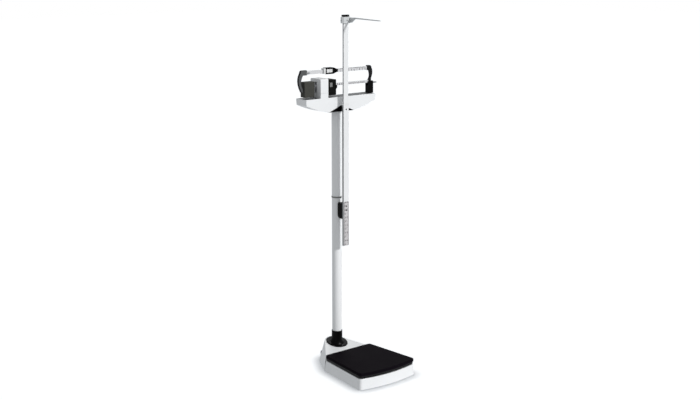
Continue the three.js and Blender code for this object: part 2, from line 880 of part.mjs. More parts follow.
function transferLever() {
  const half = transfer.thickness / 2;
  const tall = transfer.height / 2;
  const shape = new THREE.Shape();
  shape.absarc(transfer.linkX, transfer.z, tall, Math.PI / 2, (Math.PI * 3) / 2);
  shape.absarc(transfer.pivotX, transfer.z, tall, -Math.PI / 2, Math.PI / 2);
  shape.closePath();
  return cut(
    prism(shape, "y", -half, half, 8),
    bar(transfer.linkRadius + RUNNING, "y", -9, 9, [transfer.linkX, transfer.z], 12),
    bar(drawRod.pinRadius + RUNNING, "y", -9, 9, [0, transfer.z], 12),
    bar(transfer.pinRadius + RUNNING / 2, "y", -9, 9, [transfer.pivotX, transfer.z], 16),
  );
}

// The stirrup that hangs from the beam and pulls on the transfer lever.
function beamLink() {
  const x = transfer.linkX;
  const near = transfer.thickness / 2 + RUNNING;
  const far = near + 2;
  const strips = [-1, 1].map((side) =>
    block(
      [x - 3.5, x + 3.5],
      side < 0 ? [-far, -near] : [near, far],
      [transfer.z - 4, fulcrum.z + 4],
    ),
  );
  return join(
    ...strips,
    bar(transfer.linkRadius, "y", -far, far, [x, transfer.z], 12),
    bar(transfer.linkRadius, "y", -far, far, [x, fulcrum.z], 12),
  );
}

// ---------------------------------------------------------------- beam

// The main poise runs from its stop at the tower to this far along the lower bar.
const mainTravel = lockBlock.left - 6 - mainPoise.right - mainPoise.nub;

function lowerBarSolid() {
  const half = lowerBar.thickness / 2;
  const top = fulcrum.z + lowerBar.height / 2;
  const bottom = fulcrum.z - lowerBar.height / 2;
  const scaleStart = mainPoise.left + 20;
  const pitch = mainTravel / lowerBar.notches;
  const shape = new THREE.Shape();
  shape.moveTo(lowerBar.left, bottom);
  shape.lineTo(lowerBar.right, bottom);
  shape.lineTo(lowerBar.right, top);
  for (let notch = lowerBar.notches; notch > 0; notch -= 1) {
    const x = scaleStart + notch * pitch;
    shape.lineTo(x + 1.5, top);
    shape.lineTo(x, top - lowerBar.notchDepth);
    shape.lineTo(x - 1.5, top);
  }
  shape.lineTo(lowerBar.left, top);
  shape.closePath();
  const x = fulcrum.x;
  const linkX = transfer.linkX;
  return cut(
    join(
      prism(shape, "y", -half, half),
      bar(11, "y", -half, half, [x, fulcrum.z]),
      bar(8, "y", -half, half, [linkX, fulcrum.z]),
    ),
    bar(fulcrum.pinRadius + FIT, "y", -9, 9, [x, fulcrum.z]),
    bar(transfer.linkRadius + RUNNING, "y", -9, 9, [linkX, fulcrum.z], 12),
  );
}

function upperBarSolid() {
  const half = upperBar.thickness / 2;
  const tall = upperBar.height / 2;
  return block([upperBar.left, upperBar.right], [-half, half], [upperBar.z - tall, upperBar.z + tall]);
}

// A C-shaped arm between the bars. "side" is -1 on the left and 1 on the right. On the upper bar it reaches
// from clampX to outerX; it bulges towards "bulge", then runs straight down from foot.knee to foot.z.
function bracketSolid(side, { top, clampX, outerX, bulge, width, foot }) {
  const clampBottom = top - bracket.clampHeight;
  const inner = outerX - width;
  const shape = new THREE.Shape();
  shape.moveTo(side * clampX, top);
  shape.lineTo(side * (outerX - 10), top);
  shape.quadraticCurveTo(side * outerX, top, side * (outerX + 2), top - 14);
  shape.quadraticCurveTo(side * bulge, (top + foot.knee) / 2, side * foot.outerX, foot.knee);
  shape.lineTo(side * foot.outerX, foot.z);
  shape.lineTo(side * foot.innerX, foot.z);
  shape.lineTo(side * foot.innerX, foot.z + foot.rise);
  shape.quadraticCurveTo(
    side * (bulge - width),
    (clampBottom + foot.z) / 2,
    side * (inner + 2),
    clampBottom,
  );
  shape.lineTo(side * clampX, clampBottom);
  shape.closePath();
  const half = bracket.depth / 2;
  const slotHalf = upperBar.thickness / 2 + FIT;
  const tall = upperBar.height / 2 + FIT;
  const end = side < 0 ? upperBar.left - FIT : upperBar.right + FIT;
  const mouth = side * (clampX - 1);
  return cut(
    prism(shape, "y", -half, half),
    block(
      [Math.min(end, mouth), Math.max(end, mouth)],
      [-slotHalf, slotHalf],
      [upperBar.z - tall, upperBar.z + tall],
    ),
  );
}

const leftBracket = () =>
  bracketSolid(-1, {
    top: upperBar.z + 13,
    clampX: -upperBar.left - 32,
    outerX: -upperBar.left + 5,
    bulge: -upperBar.left + 31,
    width: 15,
    foot: {
      z: weight.bottom + 26,
      knee: weight.bottom + 30,
      outerX: -weight.left + 13,
      innerX: -weight.left + FIT,
      rise: 12,
    },
  });

function rightBracket() {
  const body = bracketSolid(1, {
    top: upperBar.z + 14,
    clampX: lockBlock.right - 32,
    outerX: lockBlock.right - 7,
    bulge: lockBlock.right + 8,
    width: 14,
    foot: {
      z: fulcrum.z - 7.5,
      knee: lockBlock.top + 12,
      outerX: lockBlock.right - 8,
      innerX: lockBlock.left + 7,
      rise: 17,
    },
  });
  const half = lowerBar.thickness / 2 + FIT;
  const tall = lowerBar.height / 2 + FIT;
  return cut(
    body,
    block([lockBlock.left, lowerBar.right + FIT], [-half, half], [fulcrum.z - tall, fulcrum.z + tall]),
  );
}

function counterweight() {
  const half = weight.depth / 2;
  const shape = rectangle(
    weight.right - weight.left,
    weight.depth,
    2,
    (weight.left + weight.right) / 2,
    0,
  );
  const slotHalf = lowerBar.thickness / 2 + FIT;
  const tall = lowerBar.height / 2 + FIT;
  const ledge = block(
    [weight.right - 2, weight.right + 1],
    [-half - 1, half + 1],
    [weight.bottom - 1, weight.bottom + 18],
  );
  const barSlot = block(
    [lowerBar.left - FIT, weight.right + 1],
    [-slotHalf, slotHalf],
    [fulcrum.z - tall, fulcrum.z + tall],
  );
  return cut(prism(shape, "z", weight.bottom, weight.top, 4), barSlot, ledge);
}

// The threaded balance screw and its knurled nut, on the left end of the upper bar.
function zeroScrew() {
  const face = -upperBar.thickness / 2;
  const axis = [zeroKnob.x, upperBar.z - 1];
  return join(
    bar(zeroKnob.radius / 2, "y", face - zeroKnob.length + 2, face - FIT, axis, 12),
    bar(zeroKnob.radius, "y", face - zeroKnob.length, face - 4, axis, 16),
  );
}

const poiseMiddle = fulcrum.z - 10;
const poiseLabel = { gap: 2, width: 16, low: 2, high: 24, depth: 2 };

function mainPoiseSolid() {
  const mid = poiseMiddle;
  const bottom = mid - mainPoise.height / 2;
  const top = bottom + mainPoise.height;
  const { left, right, waist, nub } = mainPoise;
  const shape = roundedShape([
    [left, bottom, 2],
    [right, bottom, 5],
    [right, mid - 10, 1],
    [right + nub, mid - 3, 1],
    [right + nub, mid + 7, 1],
    [right, mid + 13, 1],
    [right, top, 5],
    [left, top, 2],
    [left, top - 5, 1],
    [left + waist, top - 17, 4],
    [left + waist, bottom + 17, 4],
    [left, bottom + 5, 1],
  ]);
  const half = mainPoise.depth / 2;
  const slotHalf = lowerBar.thickness / 2 + RUNNING;
  const slotTall = lowerBar.height / 2 + RUNNING;
  const labelLeft = left + waist + poiseLabel.gap;
  const label = block(
    [labelLeft, labelLeft + poiseLabel.width],
    [-half - 1, -half + poiseLabel.depth],
    [mid + poiseLabel.low, mid + poiseLabel.high],
  );
  const barSlot = block(
    [left - 1, right + nub + 1],
    [-slotHalf, slotHalf],
    [fulcrum.z - slotTall, fulcrum.z + slotTall],
  );
  return cut(prism(shape, "y", -half, half, 4), barSlot, label);
}

function mainPoiseLabel() {
  const left = mainPoise.left + mainPoise.waist + poiseLabel.gap + FIT;
  const front = -mainPoise.depth / 2;
  return block(
    [left, left + poiseLabel.width - 2 * FIT],
    [front + FIT, front + poiseLabel.depth - FIT],
    [poiseMiddle + poiseLabel.low + FIT, poiseMiddle + poiseLabel.high - FIT],
  );
}

const finePoiseZ = upperBar.z + 2;
const finePoiseLeft = finePoise.left + finePoise.capWidth; // of the black frame
const finePoiseSlot = (from, to) => {
  const slotHalf = upperBar.thickness / 2 + RUNNING;
  const tall = upperBar.height / 2 + RUNNING;
  return block([from, to], [-slotHalf, slotHalf], [upperBar.z - tall, upperBar.z + tall]);
};

function finePoiseSolid() {
  const half = finePoise.depth / 2;
  const { right, tip, height } = finePoise;
  const z = finePoiseZ;
  const outline = roundedShape([
    [finePoiseLeft, z - height / 2, 3],
    [right - 6, z - height / 2, 4],
    [right + tip, z - 5, 2],
    [right + tip, z + 5, 2],
    [right - 6, z + height / 2, 4],
    [finePoiseLeft, z + height / 2, 3],
  ]);
  const windowHalf = finePoise.windowHeight / 2;
  const window = block(
    [finePoiseLeft + finePoise.windowLeft, right - finePoise.windowRight],
    [-half - 1, 0],
    [z - windowHalf, z + windowHalf],
  );
  return cut(prism(outline, "y", -half, half, 4), finePoiseSlot(finePoise.left, right + tip + 1), window);
}

function finePoiseCap() {
  const half = finePoise.depth / 2 - 1;
  const width = finePoise.capWidth - FIT;
  const shape = rectangle(width, finePoise.height - 4, 2, finePoise.left + width / 2, finePoiseZ);
  return cut(prism(shape, "y", -half, half, 4), finePoiseSlot(finePoise.left - 1, finePoiseLeft + 1));
}

// ---------------------------------------------------------------- beam stop and lock

const lockPivot = [lockBlock.right - lockBlock.pivotWall / 2, lockLever.z];

function lockHousing() {
  const { left, right, top, depth, wall, pivotWall } = lockBlock;
  const half = depth / 2;
  const bottom = housing.top + FIT;
  const inner = half - wall;
  const shape = roundedShape([
    [left, bottom, 2],
    [right, bottom, 2],
    [right, top, 4],
    [left, top, 4],
  ]);
  const leverHalf = lockLever.width / 2 + RUNNING;
  const leverRoom = block(
    [right - pivotWall - 1, right + 1],
    [-leverHalf, leverHalf],
    [lockLever.z - lockLever.thickness, lockLever.z + lockLever.thickness],
  );
  const barHalf = bracket.depth / 2;
  return cut(
    prism(shape, "y", -half, half, 4),
    block([left + wall, right - pivotWall], [-inner, inner], [bottom + wall, top + 1]),
    block([left - 1, left + wall + 1], [-barHalf, barHalf], [fulcrum.z - 20, top + 1]),
    leverRoom,
    bar(lockLever.pinRadius + FIT / 2, "y", -inner, inner, lockPivot, 12),
  );
}

function lockLeverSolid() {
  const half = lockLever.width / 2;
  const [x, z] = lockPivot;
  const thick = lockLever.thickness / 2;
  const shape = roundedShape([
    [x - 3, z - thick, 1],
    [lockLever.reach, z - thick + 0.5, 2],
    [lockLever.reach, z + thick - 0.5, 2],
    [x - 3, z + thick, 1],
  ]);
  return cut(
    prism(shape, "y", -half, half, 4),
    bar(lockLever.pinRadius + FIT / 2, "y", -9, 9, lockPivot, 12),
  );
}

function lockPin() {
  const reach = lockBlock.depth / 2 - lockBlock.wall - FIT;
  return bar(lockLever.pinRadius, "y", -reach, reach, lockPivot, 12);
}

// ---------------------------------------------------------------- measuring rod

const rodFront = rod.y - rod.depth / 2;
const rodBack = rod.y + rod.depth / 2;
const screwHeights = [...clampSaddle.screwZ, ...upperClamp.screwZ];

function outerRod() {
  const outside = rectangle(rod.width, rod.depth, 2, 0, rod.y);
  const boreWidth = rod.width - 2 * rod.wall;
  const boreDepth = rod.depth - 2 * rod.wall;
  const inside = rectangle(boreWidth, boreDepth, 0.8, 0, rod.y);
  const holes = screwHeights.map((z) =>
    bar(screw.radius + FIT, "y", rodFront - 1, rodBack + 1, [0, z], 12),
  );
  return cut(
    prism(outside, "z", rod.bottom, rod.top, 4),
    prism(inside, "z", rod.bottom - 1, rod.top + 1, 3),
    ...holes,
  );
}

function rodGuideCap() {
  const width = rod.width + 2 * guideCap.grow;
  const depth = rod.depth + 2 * guideCap.grow;
  const shape = rectangle(width, depth, 2.5, 0, rod.y);
  const hole = rectangle(rod.innerWidth + 2 * FIT, rod.innerDepth + 2 * FIT, 0.8, 0, rod.y);
  return cut(
    prism(shape, "z", rod.top + FIT, rod.top + guideCap.height, 5),
    prism(hole, "z", rod.top - 1, rod.top + guideCap.height + 1, 3),
  );
}

function innerRod() {
  const outside = rectangle(rod.innerWidth, rod.innerDepth, 1.2, 0, rod.y);
  const inside = rectangle(
    rod.innerWidth - 2 * rod.innerWall,
    rod.innerDepth - 2 * rod.innerWall,
    0.5,
    0,
    rod.y,
  );
  return cut(
    prism(outside, "z", rod.innerBottom, rod.innerTop, 3),
    prism(inside, "z", rod.innerBottom - 1, rod.innerTop + 1, 3),
  );
}

function rodTopCap() {
  const plugWidth = rod.innerWidth - 2 * rod.innerWall - 2 * FIT;
  const plugDepth = rod.innerDepth - 2 * rod.innerWall - 2 * FIT;
  const lid = rectangle(cap.width, cap.depth, 3, 0, rod.y);
  const plug = rectangle(plugWidth, plugDepth, 0.5, 0, rod.y);
  return join(
    prism(lid, "z", rod.innerTop + FIT, rod.innerTop + cap.height, 4),
    prism(plug, "z", rod.innerTop - 12, rod.innerTop + 1, 3),
  );
}

const headRoom = guideCap.grow + rodHead.clearance;
const headCavity = {
  halfWidth: rod.width / 2 + headRoom,
  front: rodFront - headRoom,
  back: rodBack + headRoom,
};
const headFront = headCavity.front - rodHead.frontWall;
const headBack = headCavity.back + rodHead.lipThickness;
const tongueHinge = [headFront - tongue.hingeGap, tongue.hingeZ];

function headCarriage() {
  const half = rodHead.width / 2;
  const { chamfer } = rodHead;
  const shape = roundedShape([
    [-half + chamfer, headFront, 1],
    [half - chamfer, headFront, 1],
    [half, headFront + chamfer, 1],
    [half, headBack - chamfer, 1],
    [half - chamfer, headBack, 1],
    [-half + chamfer, headBack, 1],
    [-half, headBack - chamfer, 1],
    [-half, headFront + chamfer, 1],
  ]);
  const [pinY, pinZ] = tongueHinge;
  const lugTo = tongue.left - RUNNING;
  const lugFrom = lugTo - tongue.lug;
  const lug = join(
    block([lugFrom, lugTo], [pinY, headFront + 1], [pinZ - tongue.knuckle, pinZ + tongue.knuckle]),
    bar(tongue.knuckle, "x", lugFrom, lugTo, [pinY, pinZ], 16),
  );
  return cut(
    join(prism(shape, "z", rodHead.bottom, rodHead.top, 3), lug),
    block(
      [-headCavity.halfWidth, headCavity.halfWidth],
      [headCavity.front, headCavity.back],
      [rodHead.bottom - 1, rodHead.top + 1],
    ),
    block(
      [-rodHead.opening, rodHead.opening],
      [headCavity.back - 1, headBack + 1],
      [rodHead.bottom - 1, rodHead.top + 1],
    ),
    bar(tongue.pinRadius + FIT / 2, "x", lugFrom - 1, lugTo + 1, tongueHinge, 12),
  );
}

// The head bar: a narrow blade with a deep root, which stands on edge to the right of the head's middle.
function tongueSolid() {
  const [pinY, pinZ] = tongueHinge;
  const rootY = pinY - 0.5;
  const tipY = pinY - tongue.length;
  const top = tongue.topZ;
  const shape = roundedShape([
    [pinY + tongue.knuckle, pinZ, 0],
    [pinY + tongue.knuckle, top - 1, 1],
    [rootY - tongue.wedge, top, 0],
    [tipY, top - tongue.droop, 1],
    [tipY, top - tongue.droop - tongue.thickness, 1],
    [rootY - tongue.wedge, top - 1.6 * tongue.thickness, 4],
    [rootY - 3, pinZ - tongue.knuckle, 2],
    [pinY, pinZ - tongue.knuckle, 0],
    [pinY + tongue.knuckle * 0.7, pinZ - tongue.knuckle * 0.7, 0],
  ]);
  return cut(
    prism(shape, "x", tongue.left, tongue.right, 4),
    bar(tongue.pinRadius + RUNNING / 2, "x", tongue.left - 1, tongue.right + 1, tongueHinge, 12),
  );
}

function tonguePin() {
  const from = tongue.left - RUNNING - tongue.lug;
  const headFrom = tongue.right + RUNNING;
  return join(
    bar(tongue.pinRadius, "x", from, headFrom + 1, tongueHinge, 12),
    bar(tongue.pinRadius + 1.5, "x", headFrom, headFrom + tongue.pinHead, tongueHinge, 16),
  );
}

function lowerClamp() {
  const { bottom, top, halfWidth, screwZ } = clampSaddle;
  const shape = roundedShape([
    [-column.radius - 1, bottom + 6, 0],
    [-column.radius - 1, top, 6],
    [rodBack + FIT, top, 6],
    [rodBack + FIT, bottom, 6],
    [-column.radius - 12, bottom, 6],
  ]);
  const body = prism(shape, "x", -halfWidth, halfWidth, 4);
  const grip = block([-halfWidth, halfWidth], [-column.radius - 6, -18], [bottom + 10, top - 6]);
  return cut(
    join(body, grip),
    bar(column.radius + FIT, "z", bottom - 1, top + 1, [0, 0], 40),
    ...screwZ.map((z) => bar(screw.radius + FIT, "y", rodBack - 1, rodBack + screw.reach + 4, [0, z], 12)),
  );
}

function upperClampSolid() {
  const { halfWidth, bottom, top } = upperClamp;
  return cut(
    block([-halfWidth, halfWidth], [rodBack + FIT, -saddle.halfDepth - FIT], [bottom, top]),
    ...upperClamp.screwZ.map((z) =>
      bar(screw.radius + FIT, "y", rodBack - 1, rodBack + screw.reach + 2, [0, z], 12),
    ),
  );
}

function bandSolid() {
  const from = band.z - band.height / 2;
  const to = band.z + band.height / 2;
  const outer = column.radius + FIT + band.thickness;
  return cut(
    join(
      bar(outer, "z", from, to, [0, 0], 40),
      block([-3, 3], [-outer - band.tab, -outer + 1], [from, to]),
    ),
    bar(column.radius + FIT, "z", from - 1, to + 1, [0, 0], 40),
  );
}

// A screw through the rod's back wall into its clamp.
function rodScrew() {
  return bar(screw.radius, "y", rodBack - rod.wall + FIT, rodBack + screw.reach, [0, 0], 12);
}

// ---------------------------------------------------------------- the whole scale

const scale = new THREE.Group();

const baseGroup = new THREE.Group();
piece(baseGroup, "base_housing", baseHousing(), "whiteEnamel");
piece(baseGroup, "base_pan", basePan(), "steel");
feet(baseGroup);
castors(baseGroup);
piece(baseGroup, "front_stand", stand(levers.longPivotX, levers.longPivotY, levers.pivotZ), "steel");
piece(baseGroup, "rear_stand", stand(levers.shortPivotX, levers.shortPivotY, levers.shortPivotZ), "steel");
piece(baseGroup, "long_lever", longLever(), "castIron");
piece(baseGroup, "short_lever", shortLever(), "castIron");
piece(baseGroup, "lever_link", leverLink(), "steel");
piece(baseGroup, "front_bearer", bearer(levers.longPivotX, longLoadY, levers.pivotZ), "steel");
piece(baseGroup, "rear_bearer", bearer(levers.shortPivotX, shortLoadY, levers.shortPivotZ), "steel");
piece(baseGroup, "platform_plate", platformPlate(), "blackPlastic");
piece(baseGroup, "platform_mat", platformMat(), "blackRubber");
scale.add(baseGroup);

const columnGroup = new THREE.Group();
piece(columnGroup, "column_tube", columnTube(), "whiteEnamel");
piece(columnGroup, "column_collar", columnCollar(), "blackPlastic");
piece(columnGroup, "column_saddle", columnSaddle(), "blackPlastic");
piece(columnGroup, "draw_rod", drawRodSolid(), "steel");
scale.add(columnGroup);

const headGroup = new THREE.Group();
piece(headGroup, "housing_shell", housingShell(), "whiteEnamel");
piece(headGroup, "housing_cover_left", leftCover(), "greyEnamel");
piece(headGroup, "housing_cover_right", rightCover(), "greyEnamel");
piece(headGroup, "tower_cap", towerCap(), "whiteEnamel");
piece(headGroup, "fulcrum_yoke", fulcrumYoke(), "steel");
piece(headGroup, "transfer_lever", transferLever(), "steel");
const transferReach = housing.halfDepth - housing.wall - 2;
const transferAxis = [transfer.pivotX, transfer.z];
const transferPin = bar(transfer.pinRadius, "y", -transferReach, transferReach, transferAxis, 16);
piece(headGroup, "transfer_pin", transferPin, "steel");
piece(headGroup, "draw_rod_pin", bar(drawRod.pinRadius, "y", -7, 7, [0, transfer.z], 12), "steel");
piece(headGroup, "beam_link", beamLink(), "steel");
piece(headGroup, "lock_housing", lockHousing(), "blackPlastic");
piece(headGroup, "lock_lever", lockLeverSolid(), "blackPlastic");
piece(headGroup, "lock_pin", lockPin(), "steel");
scale.add(headGroup);

const beamGroup = new THREE.Group();
piece(beamGroup, "lower_bar", lowerBarSolid(), "aluminium");
piece(beamGroup, "upper_bar", upperBarSolid(), "aluminium");
piece(beamGroup, "left_bracket", leftBracket(), "castIron");
piece(beamGroup, "right_bracket", rightBracket(), "blackPlastic");
piece(beamGroup, "counterweight", counterweight(), "castIron");
piece(beamGroup, "zero_screw", zeroScrew(), "steel");
const fulcrumAxis = [fulcrum.x, fulcrum.z];
const fulcrumPin = bar(fulcrum.pinRadius, "y", -fulcrum.pinReach, fulcrum.pinReach, fulcrumAxis, 16);
piece(beamGroup, "fulcrum_pin", fulcrumPin, "steel");
piece(beamGroup, "main_poise", mainPoiseSolid(), "castIron");
piece(beamGroup, "main_poise_label", mainPoiseLabel(), "whiteEnamel");
piece(beamGroup, "fine_poise", finePoiseSolid(), "blackPlastic");
piece(beamGroup, "fine_poise_cap", finePoiseCap(), "whiteEnamel");
scale.add(beamGroup);

const rodGroup = new THREE.Group();
piece(rodGroup, "outer_rod", outerRod(), "aluminium");
piece(rodGroup, "rod_guide_cap", rodGuideCap(), "whiteEnamel");
piece(rodGroup, "inner_rod", innerRod(), "aluminium");
piece(rodGroup, "rod_top_cap", rodTopCap(), "blackPlastic");
piece(rodGroup, "head_carriage", headCarriage(), "aluminium");
piece(rodGroup, "tongue", tongueSolid(), "aluminium");
piece(rodGroup, "tongue_pin", tonguePin(), "steel");
piece(rodGroup, "lower_clamp", lowerClamp(), "blackPlastic");
piece(rodGroup, "upper_clamp", upperClampSolid(), "blackPlastic");
piece(rodGroup, "clamp_band", bandSolid(), "greyEnamel");
screwHeights.forEach((z, index) => {
  piece(rodGroup, `rod_screw_${index + 1}`, rodScrew(), "steel").position.set(0, 0, z);
});
scale.add(rodGroup);

// The origin is the middle of the whole object's box, on the floor.
const bounds = new THREE.Box3().setFromObject(scale);
scale.position.set(-(bounds.min.x + bounds.max.x) / 2, -(bounds.min.y + bounds.max.y) / 2, 0);

export default scale;
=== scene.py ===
"""Looks, stage and camera of a physician beam scale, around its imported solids.

Lengths are in metres. The column stands at the back, the platform lies towards -Y in front of it,
and +X is the right-hand end of the beam for someone who faces the platform.
"""

import json
import math

import bmesh
import bpy
from mathutils import Matrix, Vector
from mathutils.bvhtree import BVHTree


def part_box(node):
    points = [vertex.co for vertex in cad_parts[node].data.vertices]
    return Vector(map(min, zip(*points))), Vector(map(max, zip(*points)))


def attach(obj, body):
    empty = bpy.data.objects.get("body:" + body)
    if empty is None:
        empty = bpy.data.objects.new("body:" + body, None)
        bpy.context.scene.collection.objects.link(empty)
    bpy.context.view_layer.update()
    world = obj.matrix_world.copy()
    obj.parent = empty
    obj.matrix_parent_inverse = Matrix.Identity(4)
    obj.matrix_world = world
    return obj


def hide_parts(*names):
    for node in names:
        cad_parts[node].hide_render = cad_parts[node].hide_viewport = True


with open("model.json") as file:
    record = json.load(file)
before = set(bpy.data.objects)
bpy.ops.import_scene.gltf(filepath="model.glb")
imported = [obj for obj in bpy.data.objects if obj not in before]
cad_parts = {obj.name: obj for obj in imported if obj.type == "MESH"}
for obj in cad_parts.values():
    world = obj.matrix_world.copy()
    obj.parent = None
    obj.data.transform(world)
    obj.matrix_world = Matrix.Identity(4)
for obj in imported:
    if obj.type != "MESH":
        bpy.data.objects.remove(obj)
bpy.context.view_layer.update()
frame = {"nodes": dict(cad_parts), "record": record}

bl_info = {
    "name": "Physician beam scale",
    "version": (1, 0, 0),
    "blender": (4, 5, 0),
    "location": "View3D > Sidebar > Beam scale",
    "description": "Models and finishes a physician beam scale round its packed solids",
    "category": "Object",
}

MM = 0.001
PROUD = 0.00012  # printed marks stand this far out of their bar
FACING = 0.9  # a face looks along an axis when its normal has this much of it
SCREW_TURN = 0.6  # how far the cross in a screw's head is turned, in radians
DUST_COLOUR = (0.55, 0.54, 0.52)
SEEN_GLOW = 0.70  # the floor's own light as the camera sees it
BOUNCE = 0.26  # and as the object above it receives it
SLOT_OF = {part["node"]: part["material_slot"] for part in frame["record"]["subparts"]}
BODY_OF = {
    node: body
    for body, nodes in frame["record"]["behaviour"]["bodies"].items()
    for node in nodes
}


def centre(node):
    """The middle of a CAD node's box."""
    low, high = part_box(node)
    return (low + high) / 2


COLUMN = centre("column_tube")
FRONT = Vector((0, -1, 0))


# ------------------------------------------------------------------ sizes and colours


class ScaleSizes(bpy.types.PropertyGroup):
    """Sizes of the rounded edges, screws and printed scales."""

    casting_edge: bpy.props.FloatProperty(
        name="Casting edge", description="Rounding of the hump's rim on the base",
        default=0.005, min=0.001, max=0.012, unit="LENGTH",
    )
    mat_edge: bpy.props.FloatProperty(
        name="Mat edge", description="Rounding of the rubber mat's upper edge",
        default=0.0014, min=0.0002, max=0.003, unit="LENGTH",
    )
    collar_screw: bpy.props.FloatProperty(
        name="Collar screw", description="Radius of the heads that hold the column's collar",
        default=0.0042, min=0.002, max=0.006, unit="LENGTH",
    )
    small_screw: bpy.props.FloatProperty(
        name="Small screw", description="Radius of the small screw heads",
        default=0.0028, min=0.001, max=0.004, unit="LENGTH",
    )
    rod_screw: bpy.props.FloatProperty(
        name="Rod screw", description="Radius of the screw heads on the front of the measuring rod",
        default=0.0038, min=0.002, max=0.006, unit="LENGTH",
    )
    numeral: bpy.props.FloatProperty(
        name="Numeral height", description="Height of the figures on the measuring rod",
        default=0.0075, min=0.003, max=0.012, unit="LENGTH",
    )
    rod_mark: bpy.props.FloatProperty(
        name="Rod mark", description="Distance between two marks of the measuring rod",
        default=0.005, min=0.001, max=0.01, unit="LENGTH",
    )


class ScaleFinishes(bpy.types.PropertyGroup):
    """Colours of the finishes."""

    white: bpy.props.FloatVectorProperty(
        name="White enamel", description="Stoved enamel of the column, base and beam housing",
        default=(0.845, 0.853, 0.858), size=3, min=0, max=1, subtype="COLOR",
    )
    rubber: bpy.props.FloatVectorProperty(
        name="Rubber", description="Mat and feet",
        default=(0.0058, 0.0042, 0.0064), size=3, min=0, max=1, subtype="COLOR",
    )
    moulding: bpy.props.FloatVectorProperty(
        name="Black moulding", description="Collar, saddle, clamps, lock and caps",
        default=(0.0026, 0.0023, 0.0024), size=3, min=0, max=1, subtype="COLOR",
    )
    iron: bpy.props.FloatVectorProperty(
        name="Cast iron", description="Counterweight and main poise",
        default=(0.050, 0.050, 0.043), size=3, min=0, max=1, subtype="COLOR",
    )
    aluminium: bpy.props.FloatVectorProperty(
        name="Anodised aluminium", description="Measuring rod and beam bars",
        default=(0.80, 0.805, 0.81), size=3, min=0, max=1, subtype="COLOR",
    )
    ink: bpy.props.FloatVectorProperty(
        name="Printing ink", description="Figures and marks of the scales",
        default=(0.045, 0.026, 0.036), size=3, min=0, max=1, subtype="COLOR",
    )


class ScaleStage(bpy.types.PropertyGroup):
    """Light and camera."""

    key: bpy.props.FloatProperty(
        name="Key light", description="Strength of the sun from the right front",
        default=2.1, min=0, max=10,
    )
    ambient: bpy.props.FloatProperty(
        name="Soft light", description="Strength of the even light from all sides",
        default=0.385, min=0, max=2,
    )
    contact: bpy.props.FloatProperty(
        name="Contact shade", description="How far the shade under the base reaches over the floor",
        default=0.055, min=0.01, max=0.5, unit="LENGTH",
    )
    lens: bpy.props.FloatProperty(
        name="Lens", description="Focal length in millimetres on a 36 mm wide sensor",
        default=59.25, min=20, max=200,
    )


# ------------------------------------------------------------------ modelling


def select_none():
    """Leaves edit mode and deselects everything."""
    active = bpy.context.view_layer.objects.active
    if active is not None and active.mode != "OBJECT":
        bpy.ops.object.mode_set(mode="OBJECT")
    bpy.ops.object.select_all(action="DESELECT")


def activate(obj):
    """Selects one object alone."""
    select_none()
    obj.select_set(True)
    bpy.context.view_layer.objects.active = obj


def settle(obj):
    """Moves an object's place, turn and size into its mesh."""
    activate(obj)
    bpy.ops.object.transform_apply(location=True, rotation=True, scale=True)
    return obj


def added(name):
    """Names the object that an operator has just added, and settles it."""
    obj = bpy.context.active_object
    obj.name = name
    obj.data.name = name
    return settle(obj)


def block(name, low, high):
    """A box between two corners."""
    select_none()
    bpy.ops.mesh.primitive_cube_add(size=1, location=(Vector(low) + Vector(high)) / 2)
    bpy.context.active_object.scale = Vector(high) - Vector(low)
    return added(name)


def cylinder(name, radius, start, end, sides=32):
    """A round bar between two points."""
    select_none()
    start, end = Vector(start), Vector(end)
    bpy.ops.mesh.primitive_cylinder_add(
        vertices=sides,
        radius=radius,
        depth=(end - start).length,
        location=(start + end) / 2,
        rotation=(end - start).to_track_quat("Z", "Y").to_euler(),
    )
    return added(name)


def traced(node):
    """A copy of a CAD node's solid with its loose triangles merged into whole faces."""
    source = frame["nodes"][node]
    obj = bpy.data.objects.new(node + "_piece", source.data.copy())
    bpy.context.scene.collection.objects.link(obj)
    obj.data.materials.clear()
    activate(obj)
    bpy.ops.object.mode_set(mode="EDIT")
    bpy.ops.mesh.select_all(action="SELECT")
    bpy.ops.mesh.customdata_custom_splitnormals_clear()
    bpy.ops.mesh.remove_doubles(threshold=0.01 * MM)
    bpy.ops.mesh.dissolve_limited(angle_limit=math.radians(0.6))
    bpy.ops.object.mode_set(mode="OBJECT")
    return obj


def pick_faces(obj, test):
    """In edit mode, selects the faces whose middle and normal pass the test."""
    activate(obj)
    bpy.ops.object.mode_set(mode="EDIT")
    bpy.ops.mesh.select_mode(type="FACE")
    bpy.ops.mesh.select_all(action="DESELECT")
    mesh = bmesh.from_edit_mesh(obj.data)
    found = [face for face in mesh.faces if test(face.calc_center_median(), face.normal)]
    if not found:
        raise RuntimeError(f"no face of {obj.name} is where one was looked for")
    for face in found:
        face.select_set(True)
    bmesh.update_edit_mesh(obj.data)


def pick_edges(obj, test, sharper=25):
    """In edit mode, selects the folded edges whose middle passes the test."""
    activate(obj)
    bpy.ops.object.mode_set(mode="EDIT")
    bpy.ops.mesh.select_mode(type="EDGE")
    bpy.ops.mesh.select_all(action="DESELECT")
    mesh = bmesh.from_edit_mesh(obj.data)
    for edge in mesh.edges:
        first, second = (vertex.co for vertex in edge.verts)
        between_two = len(edge.link_faces) == 2
        folded = between_two and edge.calc_face_angle(0.0) > math.radians(sharper)
        if folded and test((first + second) / 2):
            edge.select_set(True)
    bmesh.update_edit_mesh(obj.data)


def leave_edit():
    """Goes back to object mode, which keeps what was done in edit mode."""
    bpy.ops.object.mode_set(mode="OBJECT")


